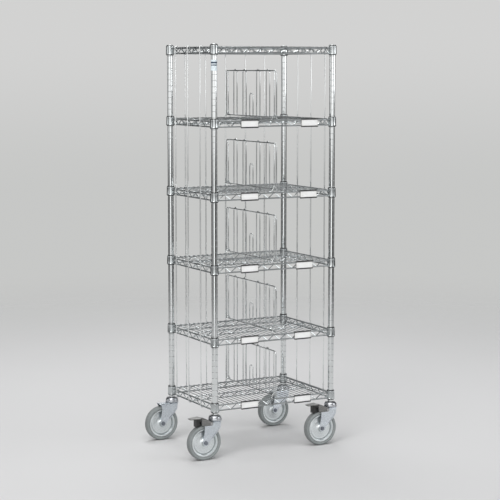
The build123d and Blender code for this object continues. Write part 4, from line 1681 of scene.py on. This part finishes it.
    def axle_bolt(self) -> Surface:
        """Axle with a washer and a hexagon head on one side, and a washer, a nut and its end on the other."""
        outer = self.fork_half + self.fork_sheet / 2
        end = self.axle_half * Y_AXIS
        parts = [straight_wire(self.axle - end, self.axle + end, self.axle_radius, 32)]
        inner, rim, top = self.washer_bore, self.washer_radius, self.washer_height
        section = bend(np.array([[inner, 0.05], [rim, 0.05], [rim, top], [inner, top]]), 0.35, 3, closed=True)
        for direction in (-1.0, 1.0):
            washer = np.stack([section[:, 0], direction * (outer + section[:, 1])], -1)
            parts.append(turned(washer, self.axle, Y_AXIS, 48))
            parts.append(self.hexagon_head(direction * (outer + top), direction, self.head_height))
        bolt = joined(*parts)
        reach = np.linalg.norm((bolt.points - self.axle)[:, [0, 2]], axis=1)
        return bolt.worn_and_shaded(np.clip((reach - 7.5) / 3, 0, 1) * 0.4)

    def build(self, finishes: dict[str, bpy.types.Material], wheel_finish: bpy.types.Material) -> None:
        """Make and dress the caster.

        Args:
            finishes: the shared materials by name.
            wheel_finish: the turned finish about this caster's axle.
        """
        name = self.corner.value
        fork_body, wheel_body = f"caster_{name}", f"wheel_{name}"
        dome_body = "root" if dome_on_root(name) else fork_body
        pieces = (
            ("bearing_dome", self.dome(), finishes["dome"], "dome_zinc", dome_body, "swivel_dome", CRISP),
            ("pressed_fork", self.fork(), finishes["fork"], "fork_zinc", fork_body, "fork", 50.0),
            ("dished_wheel", self.wheel(), wheel_finish, "wheel_zinc", wheel_body, "wheel_core", CRISP),
            ("rubber_tyre", self.tyre(), finishes["tyre"], "grey_tyre", wheel_body, "tyre", 60.0),
            ("hexagon_axle", self.axle_bolt(), finishes["bolt"], "stem_steel", fork_body, "axle_bolt", 25.0),
        )
        for title, surface, finish, slot, body, node, sharp in pieces:
            add_piece(f"{title}_{name}", surface, finish, slot, body, f"{node}_{name}", sharp=sharp)
        dress_node(f"swivel_balls_{name}", finishes["bearing"])
        dress_node(f"wheel_bushes_{name}", finishes["bush"])


def dome_on_root(name: str) -> bool:
    """True if the CAD frame keeps this corner's dome on the body of the posts."""
    return f"swivel_dome_{name}" in frame["record"]["behaviour"]["bodies"]["root"]


@dataclass
class BrakePedal:
    """Foot pedal of a front caster, with sizes from the swivel axis."""

    corner: Corner
    centre: FloatArray
    axle: FloatArray
    pivot: tuple[float, float] = (-28.0, 156.5)
    tip: float = -122.0
    crest: float = 184.5
    cheek_inner: float = 21.5
    cheek_outer: float = 24.0
    tongue_end: float = -47.5
    tongue_inset: float = 0.8
    tongue_bend: float = 3.0
    sheet_thickness: float = 2.4
    eye_radius: float = 8.3
    shoe_radius: float = 80.7
    shoe_rear: float = -93.5
    shoe_front: float = -72.0
    shoe_top: float = 180.5
    shoe_half: float = 14.5

    def tongue(self) -> Surface:
        """Tongue with turned-down sides, one sheet from its tip to the cheeks.

        Along X the sheet's half width grows from the tip to the cheeks. Across it the top is
        flat, rounds over at each side and drops by a flange that grows towards the cheeks.

        Returns:
            The tongue.
        """
        tip, half_sheet = self.tip, self.sheet_thickness / 2
        edge, inside = tip + 6, self.cheek_outer - self.tongue_inset
        x = np.concatenate([np.linspace(tip, edge, 5)[:-1], np.linspace(edge, self.tongue_end, 20)])
        half = np.interp(x, [tip, tip + 1.5, edge, -76, -47], [11.0, 13.2, 15.0, inside, inside]) - half_sheet
        fall = np.interp(x, [tip, -110, -75, -62, -47], [2.4, 1.2, 0.0, 5.5, 8.8])
        drop = np.interp(x, [tip, tip + 5, -97, -88, -72, -47], [1.6, 2.4, 4.5, 8.0, 18.0, 20.0])
        half, top, drop = half[:, None], (self.crest - fall - half_sheet)[:, None], drop[:, None]
        share = np.linspace(0, 1, 7)
        angle = np.linspace(math.pi, math.pi / 2, 6)
        around = np.stack([np.cos(angle), np.sin(angle)], -1)
        radius = np.minimum(self.tongue_bend, drop - 0.2)
        flange_z = top - drop + np.maximum(drop - self.tongue_bend, 0.2) * share[:-1]
        flange = np.stack([np.broadcast_to(-half, flange_z.shape), flange_z], -1)
        corner = np.stack([radius - half, top - radius], -1) + radius[:, :, None] * around
        flat_y = (radius - half) * (1 - share[1:])
        flat = np.stack([flat_y, np.broadcast_to(top, flat_y.shape)], -1)
        line = np.concatenate([flange, corner, flat], axis=1)
        normal = np.concatenate([np.tile([-1.0, 0.0], (6, 1)), around, np.tile([0.0, 1.0], (6, 1))])
        mirror = np.array([-1.0, 1.0])
        line = np.concatenate([line, line[:, -2::-1] * mirror], axis=1)
        normal = np.concatenate([normal, normal[-2::-1] * mirror])
        places = np.broadcast_to(x[:, None, None], (*line.shape[:2], 1))
        shells = [
            np.concatenate([places, line + normal * shift], -1) + self.centre
            for shift in (half_sheet, -half_sheet)
        ]
        tongue = sheet(*shells)
        local_x = tongue.points[:, 0] - self.centre[0]
        local_z = tongue.points[:, 2]
        on_top = np.clip((local_z - 181) / 2, 0, 1) * np.clip((-70 - local_x) / 12, 0, 1)
        return tongue.worn_and_shaded(on_top)

    def cheek(self, side: float) -> Surface:
        """Cheek plate beside the fork's leg, from the tongue to the round eye about the pin.

        Args:
            side: -1 for the front cheek, 1 for the back one.

        Returns:
            The plate.
        """
        eye_x, eye_z = self.pivot
        t = np.linspace(math.radians(80), math.radians(-105), 16)
        eye = np.stack([eye_x + self.eye_radius * np.cos(t), eye_z + self.eye_radius * np.sin(t)], -1)
        foot = eye_z - self.eye_radius
        under = [[eye_x, foot], [-60.0, foot], [-72.5, 152.0]]
        over = [[-73.5, 181.5], [-62.0, 177.2], [-47.0, 174.4], [-32.0, 165.0]]
        rest = bend(np.array(under + over), np.array([0.1, 8.0, 4.0, 1.5, 6.0, 6.0, 0.1]), 6)
        outline = np.concatenate([eye, rest[1:-1]])
        low, high = sorted((side * self.cheek_inner, side * self.cheek_outer))
        return block(outline, 1, low, high, 0.5).copies(self.centre[None])

    def shoe(self) -> Surface:
        """Block under the tongue, its underside curved about the axle."""
        axle_x = self.axle[0] - self.centre[0]
        x = np.linspace(self.shoe_rear, self.shoe_front, 12)
        under = self.axle[2] + np.sqrt(self.shoe_radius**2 - (x - axle_x) ** 2)
        top = np.full(2, self.shoe_top)
        outline = np.concatenate([np.stack([x, under], -1), np.stack([x[[-1, 0]], top], -1)])
        return block(outline, 1, -self.shoe_half, self.shoe_half, 0.8).copies(self.centre[None])

    def build(self, finishes: dict[str, bpy.types.Material]) -> None:
        """Make and dress the pedal.

        Args:
            finishes: the shared materials by name.
        """
        name = self.corner.value
        cheeks = [self.cheek(side).worn_and_shaded(0.45) for side in (-1.0, 1.0)]
        pedal = joined(self.tongue(), *cheeks, self.shoe())
        nodes = f"pedal_{name}", f"brake_pedal_{name}"
        add_piece(f"foot_pedal_{name}", pedal, finishes["pedal"], "pedal_paint", *nodes, sharp=45.0)
        dress_node(f"pedal_pin_{name}", finishes["stem"])


# ------------------------------------------------------------------------------------------ studio


Bands = tuple[tuple[float, float], ...]

# Light and dark round the cart, from the left through the front and the right to the back, as the share of a
# full turn and the grey there. The first row is for reflections about level, the second for those going down.
LEVEL_BANDS: Bands = (
    (0.0, 0.66), (0.035, 0.02), (0.055, 0.02), (0.08, 0.72), (0.15, 0.92), (0.24, 0.86), (0.275, 0.02),
    (0.295, 0.02), (0.32, 0.70), (0.41, 0.62), (0.445, 0.015), (0.56, 0.015), (0.60, 0.62), (0.73, 0.62),
    (0.76, 0.015), (0.87, 0.015), (0.91, 0.66),
)
LOW_BANDS: Bands = (
    (0.0, 0.20), (0.02, 0.01), (0.065, 0.01), (0.09, 0.50), (0.17, 0.84), (0.21, 0.62), (0.235, 0.005),
    (0.33, 0.005), (0.36, 0.30), (0.40, 0.28), (0.43, 0.005), (0.58, 0.005), (0.61, 0.28), (0.72, 0.28),
    (0.74, 0.005), (0.89, 0.005), (0.92, 0.24),
)


@dataclass(frozen=True)
class Studio:
    """Pale floor that fades into a pale surround, soft lights and the camera."""

    floor_radius: float = 14.0
    fade_start: float = 1.6
    fade_end: float = 6.0
    floor_colour: Colour = (0.635, 0.635, 0.638)
    floor_cloud: float = 0.985
    floor_drop: float = 0.0004
    surround_low: Colour = (0.570, 0.575, 0.567)
    surround_high: Colour = (0.645, 0.645, 0.640)
    ceiling: Colour = (0.035, 0.037, 0.039)
    camera_place: Triple = (-3.2030, -5.9878, 1.6437)
    camera_yaw: float = 28.489
    camera_pitch: float = 6.645
    lens: float = 112.97

    def floor(self, effects: Effects) -> None:
        """Lay a round floor, whose finish turns clear far from the cart.

        Args:
            effects: the shared node groups.
        """
        rings, sides = 40, 96
        angle = np.linspace(0, 2 * math.pi, sides, endpoint=False)[None]
        reach = np.linspace(0, 1, rings)[:, None] ** 1.6 * self.floor_radius
        x, y = reach * np.cos(angle), reach * np.sin(angle)
        points = np.stack([x, y, np.zeros_like(x) - self.floor_drop], -1).reshape(-1, 3)
        mesh = bpy.data.meshes.new("studio_floor")
        mesh.from_pydata(points[sides - 1 :].tolist(), [], self._floor_faces(rings, sides))
        mesh.update()
        mesh.materials.append(self._floor_finish(effects))
        floor = bpy.data.objects.new("studio_floor", mesh)
        bpy.context.scene.collection.objects.link(floor)

    @staticmethod
    def _floor_faces(rows: int, columns: int) -> list[list[int]]:
        """Faces of the disc: quads between the rings and a fan to one middle point."""
        quads = grid_faces(rows - 1, columns, False, True) + 1
        start = np.arange(columns)
        fan = np.stack([0 * start, start + 1, (start + 1) % columns + 1], -1)
        return fan.tolist() + quads[:, ::-1].tolist()

    def _floor_finish(self, effects: Effects) -> bpy.types.Material:
        """Matt painted floor with slow clouds, clear beyond the fade."""
        material, wiring, shader, place = new_material("studio_floor")
        length = wiring.node("ShaderNodeVectorMath", operation="LENGTH")
        fade = wiring.node("ShaderNodeMapRange", interpolation_type=SMOOTH, To_Min=1.0, To_Max=0.0)
        fade.inputs["From Min"].default_value = self.fade_start
        fade.inputs["From Max"].default_value = self.fade_end
        cloud = tuple(self.floor_cloud * channel for channel in self.floor_colour)
        tone = wiring.group(
            effects.tone, Scale=0.8, Amount=0.5, Colour=opaque(self.floor_colour), Cloud=opaque(cloud)
        )
        wiring.join(
            (place, "Object", length, 0),
            (length, "Value", fade, "Value"),
            (place, "Object", tone, "Vector"),
            (tone, "Colour", shader, "Base Color"),
            (fade, "Result", shader, "Alpha"),
        )
        shader.inputs["Roughness"].default_value = 0.9
        shader.inputs["Specular IOR Level"].default_value = 0.1
        return material

    def world(self) -> None:
        """Surround: plain and pale to look at, and banded in light and dark for the gloss of the metal."""
        world = bpy.data.worlds.new("studio_surround")
        world.use_nodes = True
        bpy.context.scene.world = world
        world.node_tree.nodes.clear()
        wiring = Wiring(world.node_tree)
        path = wiring.node("ShaderNodeLightPath")
        seen = wiring.node("ShaderNodeBackground", Strength=1.0)
        lit = wiring.node("ShaderNodeBackground", Strength=1.6)
        shown = wiring.node("ShaderNodeMixShader")
        out = wiring.node("ShaderNodeOutputWorld")
        place = wiring.node("ShaderNodeTexCoord")
        split = wiring.node("ShaderNodeSeparateXYZ")
        turn = wiring.node("ShaderNodeMath", operation="ARCTAN2")
        spread = wiring.node("ShaderNodeMapRange", From_Min=-math.pi, From_Max=math.pi)
        level = self._bands(wiring, LEVEL_BANDS)
        low = self._bands(wiring, LOW_BANDS)
        drop = wiring.node("ShaderNodeMapRange", From_Min=-0.02, From_Max=-0.07, To_Min=0.0, To_Max=1.0)
        banded = wiring.node("ShaderNodeMix", data_type="RGBA")
        rise = wiring.node("ShaderNodeMapRange", From_Min=0.2, From_Max=0.5, To_Min=0.0, To_Max=0.95)
        upper = wiring.node("ShaderNodeMix", data_type="RGBA")
        upper.inputs[MIX_COLOUR_B].default_value = opaque(self.ceiling)
        shade = wiring.node("ShaderNodeMapRange", interpolation_type=SMOOTH, From_Min=-0.08, From_Max=0.02)
        wall = wiring.node("ShaderNodeMix", data_type="RGBA")
        wall.inputs[MIX_COLOUR_A].default_value = opaque(self.surround_low)
        wall.inputs[MIX_COLOUR_B].default_value = opaque(self.surround_high)
        wiring.join(
            (place, "Generated", split, "Vector"),
            (split, "Z", shade, "Value"),
            (shade, "Result", wall, MIX_FACTOR),
            (wall, MIX_COLOUR_OUT, seen, "Color"),
            (split, "Y", turn, 0),
            (split, "X", turn, 1),
            (turn, "Value", spread, "Value"),
            (spread, "Result", level, "Fac"),
            (spread, "Result", low, "Fac"),
            (split, "Z", drop, "Value"),
            (drop, "Result", banded, MIX_FACTOR),
            (level, "Color", banded, MIX_COLOUR_A),
            (low, "Color", banded, MIX_COLOUR_B),
            (split, "Z", rise, "Value"),
            (rise, "Result", upper, MIX_FACTOR),
            (banded, MIX_COLOUR_OUT, upper, MIX_COLOUR_A),
            (upper, MIX_COLOUR_OUT, lit, "Color"),
            (path, "Is Camera Ray", shown, 0),
            (lit, 0, shown, 1),
            (seen, 0, shown, 2),
            (shown, 0, out, "Surface"),
        )

    @staticmethod
    def _bands(wiring: Wiring, stops: Bands) -> bpy.types.Node:
        """Colour ramp of grey stops that returns to the first value at its end.

        Args:
            wiring: the tree that the ramp goes into.
            stops: place and grey value of each stop, in order.

        Returns:
            The ramp.
        """
        node = wiring.node("ShaderNodeValToRGB")
        node.color_ramp.interpolation = "EASE"
        for end in node.color_ramp.elements:
            end.color = opaque((stops[0][1],) * 3)
        for stop, value in stops[1:]:
            node.color_ramp.elements.new(stop).color = opaque((value,) * 3)
        return node

    @staticmethod
    def soft_light(name: str, place: Triple, aim: Triple, size: float, power: float, tint: Colour) -> None:
        """Hang one square soft light.

        Args:
            name: the light's name.
            place: where it hangs, in metres.
            aim: the point it faces, in metres.
            size: side of its square.
            power: its power in watts.
            tint: its colour.
        """
        light = bpy.data.lights.new(name, "AREA")
        light.shape = "SQUARE"
        light.size = size
        light.energy = power
        light.color = tint
        lamp = bpy.data.objects.new(name, light)
        away = np.array(place) - np.array(aim)
        flat = math.hypot(away[0], away[1])
        lamp.location = place
        lamp.rotation_euler = (math.atan2(flat, away[2]), 0.0, math.atan2(away[1], away[0]) + math.pi / 2)
        lamp.visible_camera = False
        bpy.context.scene.collection.objects.link(lamp)

    @staticmethod
    def wide_light(name: str, turn: Triple, strength: float) -> None:
        """Even light from a wide patch of the ceiling, the same all over the floor.

        Args:
            name: the light's name.
            turn: its rotation about X, Y and Z, from straight down.
            strength: its strength.
        """
        light = bpy.data.lights.new(name, "SUN")
        light.energy = strength
        light.angle = math.radians(60)
        lamp = bpy.data.objects.new(name, light)
        lamp.rotation_euler = turn
        bpy.context.scene.collection.objects.link(lamp)

    def camera(self) -> None:
        """Set up the camera on the front left side of the cart."""
        data = bpy.data.cameras.new("cart_camera")
        data.lens = self.lens
        data.sensor_width = 36.0
        data.clip_end = 100.0
        camera = bpy.data.objects.new("cart_camera", data)
        camera.location = self.camera_place
        camera.rotation_euler = (math.radians(90 - self.camera_pitch), 0.0, math.radians(-self.camera_yaw))
        bpy.context.scene.collection.objects.link(camera)
        bpy.context.scene.camera = camera

    def build(self, effects: Effects) -> None:
        """Lay the floor, hang the lights and set up the camera.

        Args:
            effects: the shared node groups.
        """
        self.floor(effects)
        self.world()
        self.camera()
        self.soft_light("key_softbox", (-3.4, -2.6, 3.6), (0.0, 0.0, 0.7), 2.0, 70.0, (1.0, 0.99, 0.98))
        self.soft_light("fill_softbox", (3.6, -3.0, 2.4), (0.0, 0.0, 0.8), 2.0, 35.0, (0.97, 0.98, 1.0))
        self.soft_light("top_softbox", (0.4, 1.6, 4.2), (0.0, 0.0, 0.5), 1.6, 60.0, (1.0, 1.0, 1.0))
        self.wide_light("ceiling_glow", (math.radians(18), math.radians(-14), 0.0), 1.7)
        bpy.context.scene.view_settings.view_transform = "Standard"
        LOG.info("studio: floor, surround, four soft lights and the camera")


def build_casters(layout: Layout, effects: Effects) -> None:
    """Make and dress the four casters, their bushes and stems, and the two brake pedals.

    Args:
        layout: places of the posts.
        effects: the shared node groups.
    """
    finishes = {
        "dome": DOME_ZINC.build(effects),
        "fork": FORK_ZINC.build(effects),
        "tyre": GREY_TYRE.build(effects),
        "bolt": BOLT_ZINC.build(effects),
        "bearing": BEARING_STEEL.build(effects),
        "bush": BUSH_PLASTIC.build(effects),
        "pedal": PEDAL_PAINT.build(effects),
        "stem": STEM_STEEL.build(effects),
    }
    for corner, centre in layout.posts.items():
        low, high = box_of(f"tyre_{corner.value}")
        axle = (low + high) / 2
        Caster(corner, centre, axle).build(finishes, WHEEL_ZINC.build(effects, axle))
        if corner.is_front:
            BrakePedal(corner, centre, axle).build(finishes)
    dress_node("caster_stems", finishes["stem"])
    dress_node("stem_sockets", finishes["bush"])


def main() -> None:
    """Build the cart and its studio, and log each cart piece's face count."""
    logging.basicConfig(level=logging.INFO, format="%(name)s: %(message)s")
    effects = Effects()
    layout = Layout()
    for assembly in (Posts, WireShelves, SplitSleeves, SideRods, Dividers, Labels):
        assembly(layout).build(effects)
    build_casters(layout, effects)
    Studio().build(effects)


if __name__ == "__main__":
    main()
